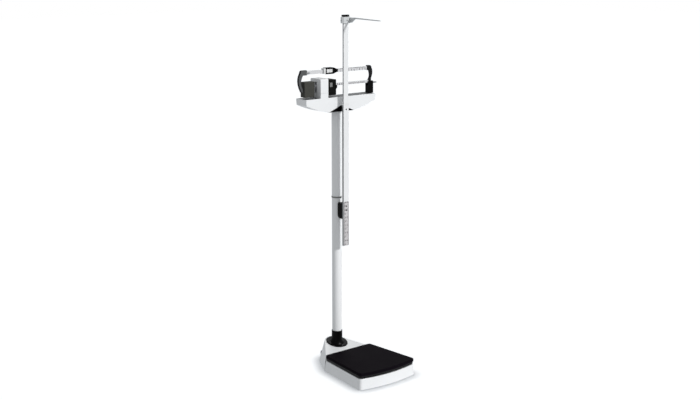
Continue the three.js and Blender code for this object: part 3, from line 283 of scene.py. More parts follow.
def round_edges(obj, width, segments=2, sharper=30):
    """Rounds every edge that is folded by more than an angle."""
    activate(obj)
    modifier = obj.modifiers.new("Rounded", "BEVEL")
    modifier.width = width
    modifier.segments = segments
    modifier.limit_method = "ANGLE"
    modifier.angle_limit = math.radians(sharper)
    modifier.use_clamp_overlap = False
    modifier.miter_outer = "MITER_ARC"
    bpy.ops.object.modifier_apply(modifier=modifier.name)
    return obj


def carve(obj, *tools):
    """Cuts other solids out of one, and removes them."""
    for tool in tools:
        activate(obj)
        modifier = obj.modifiers.new("Cut", "BOOLEAN")
        modifier.operation = "DIFFERENCE"
        modifier.solver = "EXACT"
        modifier.object = tool
        bpy.ops.object.modifier_apply(modifier=modifier.name)
        bpy.data.objects.remove(tool)


def repeat(obj, count, step):
    """Repeats a shape in a row."""
    activate(obj)
    modifier = obj.modifiers.new("Row", "ARRAY")
    modifier.count = count
    modifier.use_relative_offset = False
    modifier.use_constant_offset = True
    modifier.constant_offset_displace = step
    bpy.ops.object.modifier_apply(modifier=modifier.name)
    return obj


def joined(name, objects):
    """Joins several shapes into one piece."""
    activate(objects[0])
    for obj in objects[1:]:
        obj.select_set(True)
    bpy.ops.object.join()
    objects[0].name = name
    return objects[0]


def numeral(text, height, place, turn=0.0):
    """A printed figure that faces -Y, its middle at a place on the printed face."""
    select_none()
    bpy.ops.object.text_add(location=place, rotation=(math.radians(90), turn, 0))
    obj = bpy.context.active_object
    obj.data.body = text
    obj.data.size = height * 1.4  # a text's size is the height of its line, not of its figures
    obj.data.align_x = "CENTER"
    obj.data.align_y = "CENTER"
    obj.data.extrude = PROUD
    obj.data.resolution_u = 3
    bpy.ops.object.convert(target="MESH")
    return settle(bpy.context.active_object)


def finish(obj, slot, body, *nodes, smooth=35, material=None):
    """Gives a piece its finish, its body and the nodes that it stands for."""
    settle(obj)
    bpy.ops.object.shade_smooth_by_angle(angle=math.radians(smooth))
    modifier = obj.modifiers.new("Flat faces", "WEIGHTED_NORMAL")
    modifier.keep_sharp = True
    bpy.ops.object.modifier_apply(modifier=modifier.name)
    obj.data.materials.clear()
    obj.data.materials.append(surface(material or slot))
    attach(obj, body)
    if nodes:
        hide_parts(*nodes)
    return obj


def tint(obj, name, test):
    """Gives the faces that pass a test a second finish."""
    obj.data.materials.append(surface(name))
    pick_faces(obj, test)
    obj.active_material_index = len(obj.data.materials) - 1
    bpy.ops.object.material_slot_assign()
    leave_edit()
    return obj


def refine(node, width, segments=2, sharper=30, smooth=35, material=None):
    """A CAD node's solid with rounded edges, in the node's place."""
    obj = round_edges(traced(node), width, segments, sharper)
    return finish(obj, SLOT_OF[node], BODY_OF[node], node, smooth=smooth, material=material)


def spot(node, start, direction):
    """Where a ray meets a CAD node, and the surface's normal there."""
    mesh = frame["nodes"][node].data
    faces = [polygon.vertices for polygon in mesh.polygons]
    tree = BVHTree.FromPolygons([vertex.co for vertex in mesh.vertices], faces)
    place, normal, _, _ = tree.ray_cast(Vector(start), Vector(direction).normalized())
    if place is None:
        raise RuntimeError(f"nothing of {node} lies along that line")
    return place, normal


def screw(name, radius, place, normal, body, material="dark_steel", height=0.35):
    """A pan head with a cross cut into it, on a surface. Its height is a share of its radius."""
    sunk, tall = 0.3 * MM, radius * height
    head = cylinder(name, radius, (0, 0, -sunk), (0, 0, tall), 28)
    pick_faces(head, lambda _, n: n.z > FACING)
    for rise in (0.16, 0.05):
        bpy.ops.mesh.inset(thickness=radius * 0.3)
        bpy.ops.transform.translate(value=(0, 0, radius * rise))
    leave_edit()
    reach, thin = radius * 0.58, radius * 0.11
    bottom, clear = tall * 0.55, tall * 3
    carve(
        head,
        block("slot", (-reach, -thin, bottom), (reach, thin, clear)),
        block("slot", (-thin, -reach, bottom), (thin, reach, clear)),
    )
    head.matrix_world = (
        Matrix.Translation(place)
        @ Vector(normal).to_track_quat("Z", "Y").to_matrix().to_4x4()
        @ Matrix.Rotation(SCREW_TURN, 4, "Z")
    )
    return finish(head, "bright_steel", body, material=material)


# ------------------------------------------------------------------ finishes


def node_group(name, inputs, outputs):
    """An empty shader node group with named sockets."""
    tree = bpy.data.node_groups.new(name, "ShaderNodeTree")
    for label, kind, value in inputs:
        socket = tree.interface.new_socket(label, in_out="INPUT", socket_type=kind)
        if value is not None:
            socket.default_value = value
    for label, kind in outputs:
        tree.interface.new_socket(label, in_out="OUTPUT", socket_type=kind)
    return tree, tree.nodes.new("NodeGroupInput"), tree.nodes.new("NodeGroupOutput")


def math_node(tree, operation, *values, clamp=False):
    """A Math node whose inputs are sockets or numbers."""
    node = tree.nodes.new("ShaderNodeMath")
    node.operation = operation
    node.use_clamp = clamp
    for socket, value in zip(node.inputs, values):
        if isinstance(value, bpy.types.NodeSocket):
            tree.links.new(value, socket)
        else:
            socket.default_value = value
    return node.outputs[0]


def sharpened(tree, value, start, gain, clamp=True):
    """How far a value is past a start, times a gain."""
    past = math_node(tree, "SUBTRACT", value, start)
    return math_node(tree, "MULTIPLY", past, gain, clamp=clamp)


def noise(tree, vector, scale, detail=3.0, roughness=0.55):
    """A noise texture's value."""
    node = tree.nodes.new("ShaderNodeTexNoise")
    node.inputs["Detail"].default_value = detail
    node.inputs["Roughness"].default_value = roughness
    tree.links.new(vector, node.inputs["Vector"])
    if isinstance(scale, bpy.types.NodeSocket):
        tree.links.new(scale, node.inputs["Scale"])
    else:
        node.inputs["Scale"].default_value = scale
    return node.outputs[0]


def mixed(tree, factor, first, second, blend="MIX"):
    """A colour mix of two sockets or colours."""
    node = tree.nodes.new("ShaderNodeMix")
    node.data_type = "RGBA"
    node.blend_type = blend
    inputs = (node.inputs[0], node.inputs[6], node.inputs[7])
    for socket, value in zip(inputs, (factor, first, second)):
        if isinstance(value, bpy.types.NodeSocket):
            tree.links.new(value, socket)
        elif socket.type == "RGBA":
            socket.default_value = (*value, 1.0)
        else:
            socket.default_value = value
    return node.outputs[2]


def grain_group():
    """Fine relief: a height and a speckle mask."""
    tree, given, result = node_group(
        "Grain",
        [("Vector", "NodeSocketVector", None), ("Scale", "NodeSocketFloat", 900.0)],
        [("Height", "NodeSocketFloat"), ("Speckle", "NodeSocketFloat")],
    )
    fine = noise(tree, given.outputs["Vector"], given.outputs["Scale"], 4.0, 0.6)
    coarse_scale = math_node(tree, "MULTIPLY", given.outputs["Scale"], 0.23)
    coarse = noise(tree, given.outputs["Vector"], coarse_scale, 2.0)
    coarse_part = math_node(tree, "MULTIPLY", coarse, 0.35)
    height = math_node(tree, "MULTIPLY_ADD", fine, 0.65, coarse_part)
    speckle = sharpened(tree, fine, 0.56, 7.0)
    tree.links.new(height, result.inputs["Height"])
    tree.links.new(speckle, result.inputs["Speckle"])
    return tree


def brushed_group():
    """Long drawn lines along the axis on which Stretch is small."""
    along_z = (1.0, 1.0, 0.02)
    tree, given, result = node_group(
        "Drawn lines",
        [("Vector", "NodeSocketVector", None), ("Stretch", "NodeSocketVector", along_z)],
        [("Height", "NodeSocketFloat"), ("Speckle", "NodeSocketFloat")],
    )
    scaled = tree.nodes.new("ShaderNodeVectorMath")
    scaled.operation = "MULTIPLY"
    tree.links.new(given.outputs["Vector"], scaled.inputs[0])
    tree.links.new(given.outputs["Stretch"], scaled.inputs[1])
    lines = noise(tree, scaled.outputs[0], 1400.0, 3.0, 0.7)
    speckle = sharpened(tree, lines, 0.5, 3.0)
    tree.links.new(lines, result.inputs["Height"])
    tree.links.new(speckle, result.inputs["Speckle"])
    return tree


def mottle_group():
    """Slow changes of colour and gloss over a surface."""
    tree, given, result = node_group(
        "Mottle",
        [
            ("Vector", "NodeSocketVector", None),
            ("Colour", "NodeSocketColor", (0.8, 0.8, 0.8, 1.0)),
            ("Amount", "NodeSocketFloat", 0.05),
            ("Scale", "NodeSocketFloat", 8.0),
        ],
        [("Colour", "NodeSocketColor"), ("Value", "NodeSocketFloat")],
    )
    cloud = noise(tree, given.outputs["Vector"], given.outputs["Scale"], 5.0, 0.6)
    spread = sharpened(tree, cloud, 0.5, 2.6, clamp=False)
    change = math_node(tree, "MULTIPLY", spread, given.outputs["Amount"])
    gain = math_node(tree, "ADD", change, 1.0)
    combined = tree.nodes.new("ShaderNodeCombineColor")
    for socket in combined.inputs[:3]:
        tree.links.new(gain, socket)
    colour = mixed(tree, 1.0, given.outputs["Colour"], combined.outputs[0], "MULTIPLY")
    tree.links.new(colour, result.inputs["Colour"])
    tree.links.new(spread, result.inputs["Value"])
    return tree


def wear_group():
    """A broken mask along sharp edges, where handling rubs the finish."""
    tree, given, result = node_group(
        "Edge wear",
        [
            ("Vector", "NodeSocketVector", None),
            ("Radius", "NodeSocketFloat", 0.0015),
            ("Amount", "NodeSocketFloat", 0.3),
        ],
        [("Mask", "NodeSocketFloat")],
    )
    rounded = tree.nodes.new("ShaderNodeBevel")
    rounded.samples = 4
    tree.links.new(given.outputs["Radius"], rounded.inputs["Radius"])
    geometry = tree.nodes.new("ShaderNodeNewGeometry")
    dot = tree.nodes.new("ShaderNodeVectorMath")
    dot.operation = "DOT_PRODUCT"
    tree.links.new(rounded.outputs[0], dot.inputs[0])
    tree.links.new(geometry.outputs["Normal"], dot.inputs[1])
    edge = sharpened(tree, 1.0, dot.outputs["Value"], 6.0)
    broken = sharpened(tree, noise(tree, given.outputs["Vector"], 160.0, 4.0, 0.65), 0.42, 5.0)
    broken_edge = math_node(tree, "MULTIPLY", edge, broken)
    mask = math_node(tree, "MULTIPLY", broken_edge, given.outputs["Amount"])
    tree.links.new(mask, result.inputs["Mask"])
    return tree


def dust_group():
    """A thin veil on surfaces that face up."""
    tree, given, result = node_group(
        "Dust",
        [("Vector", "NodeSocketVector", None), ("Amount", "NodeSocketFloat", 0.1)],
        [("Mask", "NodeSocketFloat")],
    )
    geometry = tree.nodes.new("ShaderNodeNewGeometry")
    parts = tree.nodes.new("ShaderNodeSeparateXYZ")
    tree.links.new(geometry.outputs["Normal"], parts.inputs[0])
    upward = sharpened(tree, parts.outputs["Z"], 0.7, 3.0)
    veil = sharpened(tree, noise(tree, given.outputs["Vector"], 22.0, 6.0, 0.7), 0.35, 2.0)
    veil_on_top = math_node(tree, "MULTIPLY", upward, veil)
    mask = math_node(tree, "MULTIPLY", veil_on_top, given.outputs["Amount"])
    tree.links.new(mask, result.inputs["Mask"])
    return tree


GROUPS = {
    "Grain": grain_group,
    "Drawn lines": brushed_group,
    "Mottle": mottle_group,
    "Edge wear": wear_group,
    "Dust": dust_group,
}


def place_group(tree, name, vector, **values):
    """Puts a shared group into a material with its own values."""
    node = tree.nodes.new("ShaderNodeGroup")
    node.node_tree = bpy.data.node_groups.get(name) or GROUPS[name]()
    tree.links.new(vector, node.inputs["Vector"])
    for label, value in values.items():
        node.inputs[label].default_value = (*value, 1.0) if label == "Colour" else value
    return node


def recipes():
    """Every finish: colour, roughness, metal, then its own details."""
    own = bpy.context.scene.scale_finishes
    bare = (0.42, 0.41, 0.40)
    return {
        "white_enamel": dict(
            colour=own.white, roughness=0.34, coat=0.25, scale=420, bump=0.05, mottle=0.018,
            wear=0.12, worn=(0.50, 0.50, 0.48), dust=0.06,
        ),
        "black_rubber": dict(
            colour=own.rubber, roughness=0.55, scale=1300, bump=0.30, mottle=0.16,
            wear=0.06, worn=(0.02, 0.018, 0.02), dust=0.002, specular=0.012,
        ),
        "black_enamel": dict(
            colour=(0.011, 0.011, 0.0115), roughness=0.36, scale=500, bump=0.06, mottle=0.10,
            wear=0.12, worn=bare, dust=0.006, specular=0.14,
        ),
        "bracket_face": dict(
            colour=(0.085, 0.087, 0.088), roughness=0.45, scale=700, bump=0.10, mottle=0.12,
            wear=0.08, worn=bare, dust=0.0, specular=0.25,
        ),
        "grey_enamel": dict(
            colour=(0.085, 0.092, 0.10), roughness=0.42, scale=600, bump=0.08, mottle=0.07,
            wear=0.15, worn=bare, dust=0.05,
        ),
        "black_moulding": dict(
            colour=own.moulding, roughness=0.28, scale=900, bump=0.05, mottle=0.15,
            wear=0.05, worn=(0.03, 0.03, 0.03), dust=0.002, specular=0.07,
        ),
        "cast_iron": dict(
            colour=own.iron, roughness=0.62, scale=650, bump=0.55, mottle=0.28,
            wear=0.25, worn=(0.16, 0.15, 0.135), dust=0.03, speckle=0.4, specular=0.18,
        ),
        "poise_black": dict(
            colour=(0.006, 0.006, 0.0055), roughness=0.45, scale=800, bump=0.40, mottle=0.35,
            wear=0.30, worn=(0.12, 0.115, 0.10), dust=0.01, speckle=0.12, specular=0.06,
        ),
        "mid_grey": dict(
            colour=(0.20, 0.20, 0.195), roughness=0.45, scale=900, bump=0.05, mottle=0.2,
            wear=0.1, worn=(0.4, 0.4, 0.4), dust=0.0,
        ),
        "bright_steel": dict(
            colour=(0.56, 0.57, 0.58), roughness=0.33, metallic=1.0, scale=900, bump=0.08,
            mottle=0.08, wear=0.2, worn=(0.75, 0.75, 0.75), dust=0.05,
        ),
        "dark_steel": dict(
            colour=(0.10, 0.10, 0.105), roughness=0.4, metallic=0.6, scale=900, bump=0.08,
            mottle=0.12, wear=0.3, worn=(0.4, 0.4, 0.4), dust=0.04,
        ),
        "anodised_aluminium": dict(
            colour=own.aluminium, roughness=0.42, mottle=0.03, bump=0.05,
            stretch=(1.0, 1.0, 0.012), wear=0.12, worn=(0.55, 0.55, 0.56), dust=0.03,
        ),
        # darker copies of the rods' aluminium for their faces that look along X: painted shade on
        # the rods' sides
        "outer_rod_side": dict(
            colour=(0.21, 0.215, 0.22), roughness=0.38, metallic=0.2, mottle=0.05, bump=0.05,
            stretch=(1.0, 1.0, 0.012), wear=0.1, worn=(0.55, 0.55, 0.56), dust=0.0,
        ),
        "inner_rod_side": dict(
            colour=(0.38, 0.385, 0.39), roughness=0.38, metallic=0.2, mottle=0.05, bump=0.05,
            stretch=(1.0, 1.0, 0.012), wear=0.1, worn=(0.55, 0.55, 0.56), dust=0.0,
        ),
        "rod_tape": dict(
            colour=(0.56, 0.545, 0.55), roughness=0.55, scale=1500, bump=0.04, mottle=0.10,
            wear=0.0, worn=bare, dust=0.0, specular=0.3,
        ),
        "beam_aluminium": dict(
            colour=(0.69, 0.69, 0.70), roughness=0.40, metallic=0.1, mottle=0.06, bump=0.06,
            stretch=(0.012, 1.0, 1.0), wear=0.15, worn=(0.5, 0.5, 0.5), dust=0.04,
        ),
        "cast_aluminium": dict(
            colour=(0.62, 0.635, 0.64), roughness=0.45, metallic=0.1, scale=800, bump=0.18,
            mottle=0.06, wear=0.3, worn=(0.82, 0.82, 0.82), dust=0.03,
        ),
        "white_plastic": dict(
            colour=(0.78, 0.785, 0.78), roughness=0.38, scale=600, bump=0.05, mottle=0.03,
            wear=0.1, worn=(0.6, 0.6, 0.58), dust=0.05,
        ),
        "printing_ink": dict(
            colour=own.ink, roughness=0.6, scale=2500, bump=0.05, mottle=0.30,
            wear=0.0, worn=bare, dust=0.0, specular=0.3,
        ),
    }


def surface(name):
    """The material of one finish, built the first time that it is asked for."""
    label = "finish_" + name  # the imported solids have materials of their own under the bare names
    known = bpy.data.materials.get(label)
    if known is not None:
        return known
    recipe = recipes()[name]
    material = bpy.data.materials.new(label)
    material.use_nodes = True
    tree = material.node_tree
    shader = tree.nodes["Principled BSDF"]
    vector = tree.nodes.new("ShaderNodeTexCoord").outputs["Object"]
    if "stretch" in recipe:
        relief = place_group(tree, "Drawn lines", vector, Stretch=recipe["stretch"])
    else:
        relief = place_group(tree, "Grain", vector, Scale=float(recipe["scale"]))
    clouds = dict(Colour=tuple(recipe["colour"]), Amount=recipe["mottle"], Scale=14.0)
    mottle = place_group(tree, "Mottle", vector, **clouds)
    wear = place_group(tree, "Edge wear", vector, Amount=recipe["wear"])
    dust = place_group(tree, "Dust", vector, Amount=recipe["dust"])
    colour = mottle.outputs["Colour"]
    if "speckle" in recipe:
        spots = math_node(tree, "MULTIPLY", relief.outputs["Speckle"], recipe["speckle"])
        colour = mixed(tree, spots, colour, recipe["worn"])
    colour = mixed(tree, wear.outputs["Mask"], colour, recipe["worn"])
    colour = mixed(tree, dust.outputs["Mask"], colour, DUST_COLOUR)
    tree.links.new(colour, shader.inputs["Base Color"])
    clean = math_node(tree, "MULTIPLY_ADD", mottle.outputs["Value"], 0.06, recipe["roughness"])
    dulled = math_node(tree, "MULTIPLY_ADD", dust.outputs["Mask"], 0.5, clean)
    tree.links.new(dulled, shader.inputs["Roughness"])
    bump = tree.nodes.new("ShaderNodeBump")
    bump.inputs["Strength"].default_value = recipe["bump"]
    bump.inputs["Distance"].default_value = 0.4 * MM
    tree.links.new(relief.outputs["Height"], bump.inputs["Height"])
    tree.links.new(bump.outputs[0], shader.inputs["Normal"])
    shader.inputs["Metallic"].default_value = recipe.get("metallic", 0.0)
    shader.inputs["Coat Weight"].default_value = recipe.get("coat", 0.0)
    shader.inputs["Coat Roughness"].default_value = 0.15
    shader.inputs["Specular IOR Level"].default_value = recipe.get("specular", 0.5)
    return material


# ------------------------------------------------------------------ pieces


class SCALE_OT_base(bpy.types.Operator):
    """White cast base with its hump, bottom sheet, rubber feet and transport wheels"""

    bl_idname = "scale.base"
    bl_label = "Base, feet and wheels"

    def execute(self, context):
        self.shell(context.scene.scale_sizes.casting_edge)
        refine("base_pan", 0.3 * MM)
        for node in ("foot_front_left", "foot_front_right", "foot_rear_left", "foot_rear_right"):
            refine(node, 0.5 * MM)
        for node in ("castor_wheel_left", "castor_wheel_right"):
            self.wheel(node)
        refine("castor_axle", 0.4 * MM)
        return {"FINISHED"}

    def shell(self, width):
        """The casting, with a wide rounding on the sloping rim round the hump's top."""
        shell = traced("base_housing")
        at_column, on_rim, beside_column = 0.005, 0.0015, 0.03
        slope = math.tan(math.radians(12))
        rim = max(
            vertex.co.z
            for vertex in shell.data.vertices
            if abs(vertex.co.y - COLUMN.y) < at_column
        )
        pick_edges(
            shell,
            lambda p: abs(p.z - rim - (p.y - COLUMN.y) * slope) < on_rim
            and abs(p.x - COLUMN.x) > beside_column,
        )
        bpy.ops.mesh.bevel(offset=width, segments=4, affect="EDGES", clamp_overlap=True)
        leave_edit()
        round_edges(shell, 0.9 * MM, 2, 35)
        finish(shell, "white_enamel", "frame", "base_housing", smooth=28)

    def wheel(self, node):
        """A transport wheel with a sunk ring between its hub and its tread."""
        hub, tread = 0.006, 0.017
        middle = centre(node)
        wheel = traced(node)
        pick_faces(
            wheel,
            lambda p, n: abs(n.x) > FACING
            and hub < math.hypot(p.y - middle.y, p.z - middle.z) < tread,
        )
        bpy.ops.mesh.inset(thickness=1.6 * MM, depth=-1.4 * MM)
        leave_edit()
        round_edges(wheel, 0.35 * MM)
        finish(wheel, "grey_enamel", BODY_OF[node], node)


class SCALE_OT_platform(bpy.types.Operator):
    """Steel tray of the platform and the rubber mat over it"""

    bl_idname = "scale.platform"
    bl_label = "Platform and mat"

    def execute(self, context):
        refine("platform_plate", 0.5 * MM)
        refine("platform_mat", context.scene.scale_sizes.mat_edge, 4, smooth=40)
        return {"FINISHED"}


class SCALE_OT_column(bpy.types.Operator):
    """Column tube, its collar with three screws, and the wedge under the beam housing"""

    bl_idname = "scale.column"
    bl_label = "Column and collar"

    def execute(self, context):
        refine("column_tube", 0.4 * MM)
        refine("column_collar", 0.8 * MM, 3)
        refine("column_saddle", 0.8 * MM)
        low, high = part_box("column_collar")
        inside_rim, angles = 0.009, (270, 30, 150)
        radius = (high.x - low.x) / 2 - inside_rim
        head = context.scene.scale_sizes.collar_screw
        for number, angle in enumerate(angles, 1):
            turn = math.radians(angle)
            start = COLUMN + Vector((radius * math.cos(turn), radius * math.sin(turn), 0))
            start.z = high.z
            place, normal = spot("column_collar", start, (0, 0, -1))
            screw(f"collar_screw_{number}", head, place, normal, "frame")
        return {"FINISHED"}


class SCALE_OT_rod(bpy.types.Operator):
    """Telescopic measuring rod with its clamps, screws and printed scale"""

    bl_idname = "scale.rod"
    bl_label = "Measuring rod"

    def execute(self, context):
        sizes = context.scene.scale_sizes
        for node, width in (("outer_rod", 0.3 * MM), ("inner_rod", 0.25 * MM)):
            # the faces that look along X get a darker copy of the rod's finish, which is painted
            # shade on the rod's sides
            tint(refine(node, width), node + "_side", lambda _, n: abs(n.x) > FACING)
        refine("rod_guide_cap", 0.3 * MM)
        refine("clamp_band", 0.3 * MM, material="mid_grey")
        for node in ("lower_clamp", "upper_clamp"):
            refine(node, 0.8 * MM, 3)
        low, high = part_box("outer_rod")
        middle, front = (low.x + high.x) / 2, low.y
        for number in (1, 2, 3):
            node = f"rod_screw_{number}"
            refine(node, 0.2 * MM)
            place = centre(node)
            place.y = front
            screw(
                f"rod_screw_head_{number}", sizes.rod_screw, place, FRONT, "frame",
                material="black_enamel", height=0.14,
            )
        rivet_heights = (0.774, 0.736, 0.698)  # above the floor
        for number, height in enumerate(rivet_heights, 1):
            self.rivet(f"rod_rivet_{number}", Vector((middle, front, height)))
        self.scale(sizes, middle, front, low.z)
        return {"FINISHED"}

    def rivet(self, name, place):
        """A flat round head on the rod's front, with a sunk middle."""
        radius, sunk, stands_out = 3.0 * MM, 0.2 * MM, 0.35 * MM
        rivet = cylinder(name, radius, place - FRONT * sunk, place + FRONT * stands_out, 24)
        pick_faces(rivet, lambda _, n: n.y < -FACING)
        bpy.ops.mesh.inset(thickness=0.6 * MM, depth=-0.25 * MM)
        leave_edit()
        round_edges(rivet, 0.08 * MM)
        finish(rivet, "bright_steel", "frame", material="black_enamel")

    def scale(self, sizes, middle, front, bottom):
        """A tape on the rod's front, with marks along both its edges and figures between them."""
        half_width, under_band, margin = 0.0155, 0.014, 0.003
        short, long, half_thick = 0.0048, 0.0078, 0.9 * MM
        marks_per_figure, first_figure, figure_step = 4, 64, 2
        figure_aside, figure_up = 0.0068, 0.004
        first, step = bottom + 0.004, sizes.rod_mark
        top = centre("clamp_band").z - under_band
        tape = block(
            "outer_rod_tape",
            (middle - half_width, front - PROUD, bottom + 0.001),
            (middle + half_width, front + PROUD, top),
        )
        finish(tape, "black_enamel", "frame", material="rod_tape")
        front -= PROUD
        count = int((top - margin - first) / step)
        marks = []
        for side in (-1, 1):
            edge = middle + side * half_width
            for length, every in ((short, 1), (long, 2)):
                inner = edge - side * length
                mark = block(
                    "mark",
                    (min(edge, inner), front - PROUD, first - half_thick),
                    (max(edge, inner), front + PROUD / 2, first + half_thick),
                )
                marks.append(repeat(mark, count // every + 1, (0, 0, step * every)))
        for number in range(count // marks_per_figure + 1):
            height = first + number * step * marks_per_figure + figure_up
            for side in (-1, 1):
                if side < 0 or number % 2:
                    place = (middle + side * figure_aside, front, height)
                    figure = str(first_figure + figure_step * number)
                    marks.append(numeral(figure, sizes.numeral, place))
        scale = joined("outer_rod_scale", marks)
        finish(scale, "black_enamel", "frame", material="printing_ink")


class SCALE_OT_head(bpy.types.Operator):
    """Sliding head of the measuring rod, its screws, the folding head bar and the rod's top cap"""

    bl_idname = "scale.head"
    bl_label = "Sliding head"

    def execute(self, context):
        sizes = context.scene.scale_sizes
        refine("head_carriage", 0.5 * MM)
        refine("tongue", 0.4 * MM)
        refine("tongue_pin", 0.2 * MM)
        refine("rod_top_cap", 1.2 * MM, 3)
        low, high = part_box("head_carriage")
        middle = centre("inner_rod")
        away, height = 0.01, low.z + 0.013
        for name, start, direction in (
            ("head_screw_left", (low.x - away, middle.y, height), (1, 0, 0)),
            ("head_screw_right", (high.x + away, middle.y, height), (-1, 0, 0)),
            ("head_screw_front", (middle.x, low.y - away, height + 0.001), (0, 1, 0)),
        ):
            place, normal = spot("head_carriage", start, direction)
            screw(name, sizes.small_screw, place, normal, "head_carriage")
        return {"FINISHED"}


class SCALE_OT_housing(bpy.types.Operator):
    """Beam housing with its covers, the hood over the pivot, and the beam's stop and lock"""

    bl_idname = "scale.housing"
    bl_label = "Beam housing"

    def execute(self, context):
        sizes = context.scene.scale_sizes
        refine("housing_shell", 0.8 * MM, 3, 28, 25)
        refine("tower_cap", 1.0 * MM, 3)
        for node in ("housing_cover_left", "housing_cover_right"):
            refine(node, 0.3 * MM)
        refine("lock_housing", 0.7 * MM, 3)
        refine("lock_lever", 0.25 * MM)
        refine("lock_pin", 0.2 * MM)
        from_end, from_side, above = 0.012, 0.010, 0.05
        for node in ("housing_cover_left", "housing_cover_right"):
            low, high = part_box(node)
            for number, x in enumerate((low.x + from_end, high.x - from_end), 1):
                for side, y in (("front", low.y + from_side), ("rear", high.y - from_side)):
                    name = f"{node}_screw_{side}_{number}"
                    place, normal = spot(node, (x, y, high.z + above), (0, 0, -1))
                    screw(name, sizes.small_screw, place, normal, "frame", height=0.25)
        return {"FINISHED"}


class SCALE_OT_beam(bpy.types.Operator):
    """Weighing beam: bars with scales, brackets, counterweight, pivot and balance screw"""

    bl_idname = "scale.beam"
    bl_label = "Beam"

    def execute(self, context):
        for node in ("lower_bar", "upper_bar"):
            refine(node, 0.3 * MM, material="beam_aluminium")
        for node in ("left_bracket", "right_bracket"):
            self.bracket(node)
        refine("counterweight", 0.9 * MM, 3)
        refine("fulcrum_pin", 0.2 * MM)
        refine("zero_screw", 0.2 * MM)
        self.upper_scale()
        self.lower_scale()
        return {"FINISHED"}

    def bracket(self, node):
        """A cast bracket with a sunk front, which is a lighter grey on the left one."""
        bracket = traced(node)
        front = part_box(node)[0].y
        pick_faces(bracket, lambda p, n: n.y < -FACING and p.y < front + 0.5 * MM)
        bpy.ops.mesh.inset(thickness=2.4 * MM, depth=-0.7 * MM)
        leave_edit()
        round_edges(bracket, 0.5 * MM)
        finish(bracket, "black_enamel", BODY_OF[node], node)
        if node == "left_bracket":
            tint(
                bracket,
                "bracket_face",
                lambda p, n: n.y < -FACING and front + 0.3 * MM < p.y < front + MM,
            )

    def upper_scale(self):
        """A hundred steps in three lengths of mark, with a figure at every tenth."""
        low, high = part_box("upper_bar")
        past_poise, before_end, steps = 0.006, 0.030, 100
        top = high.z - 0.8 * MM
        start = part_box("fine_poise")[1].x + past_poise
        step = (high.x - before_end - start) / steps
        marks = []
        for every, tall, thick in ((1, 3.2, 0.7), (5, 5.0, 0.9), (10, 6.4, 1.1)):
            mark = block(
                "mark",
                (start - thick / 2 * MM, low.y - PROUD, top - tall * MM),
                (start + thick / 2 * MM, low.y + PROUD, top),
            )
            marks.append(repeat(mark, steps // every + 1, (step * every, 0, 0)))
        for number in range(steps // 10 + 1):
            place = (start + number * 10 * step, low.y, low.z + 5.2 * MM)
            marks.append(numeral(str(number), 9 * MM, place))
        scale = joined("upper_bar_scale", marks)
        finish(scale, "black_enamel", "beam", material="printing_ink")

    def lower_scale(self):
        """Nineteen marks along the middle of the bar, with their figures in tens."""
        steps, half_bar, half_mark = 20, 3 * MM, 1.0 * MM
        front = centre("lower_bar").y - half_bar
        middle = centre("fulcrum_pin").z
        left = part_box("main_poise")[0].x + 0.020
        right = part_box("lock_housing")[0].x - 0.010
        step = (right - left) / steps
        mark = block(
            "mark",
            (left + step - half_mark, front - PROUD, middle + 1.4 * MM),
            (left + step + half_mark, front + PROUD, middle + 4.4 * MM),
        )
        marks = [repeat(mark, steps - 1, (step, 0, 0))]
        for number in range(1, steps):
            place = (left + number * step, front, middle - 2.0 * MM)
            marks.append(numeral(str(number * 10), 6.0 * MM, place))
        scale = joined("lower_bar_scale", marks)
        finish(scale, "black_enamel", "beam", material="printing_ink")


class SCALE_OT_poises(bpy.types.Operator):
    """Main poise with its grey label, and fine poise with its window and white end cap"""

    bl_idname = "scale.poises"
    bl_label = "Poises"

    def execute(self, context):
        refine("main_poise", 0.9 * MM, 3, material="poise_black")
        refine("main_poise_label", 0.3 * MM, material="mid_grey")
        refine("fine_poise", 0.7 * MM, 3)
        refine("fine_poise_cap", 0.7 * MM, 3)
        self.window()
        return {"FINISHED"}

    def window(self):
        """The fine poise's pale window and the dark reading line over its middle."""
        low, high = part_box("fine_poise")
        left, right = low.x + 6.3 * MM, high.x - 32.3 * MM
        line_front, pane_front, pane_back = low.y + 1.0 * MM, low.y + 1.4 * MM, low.y + 2.2 * MM
        middle, half_tall, half_line = (low.z + high.z) / 2, 8.7 * MM, 0.5 * MM
        bottom, top = middle - half_tall, middle + half_tall
        pane = block("fine_poise_window", (left, pane_front, bottom), (right, pane_back, top))
        finish(pane, "white_plastic", "fine_poise")
        across = (left + right) / 2
        line = block(
            "fine_poise_hairline",
            (across - half_line, line_front, bottom),
            (across + half_line, pane_front, top),
        )
        round_edges(line, 0.12 * MM)
        finish(line, "black_moulding", "fine_poise")


class SCALE_OT_mechanism(bpy.types.Operator):
    """Finishes of the levers, links and pins inside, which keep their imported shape"""

    bl_idname = "scale.mechanism"
    bl_label = "Mechanism inside"

    def execute(self, context):
        for node, obj in frame["nodes"].items():
            if obj.hide_render:
                continue
            obj.data.materials.clear()
            obj.data.materials.append(surface(SLOT_OF[node]))
        return {"FINISHED"}


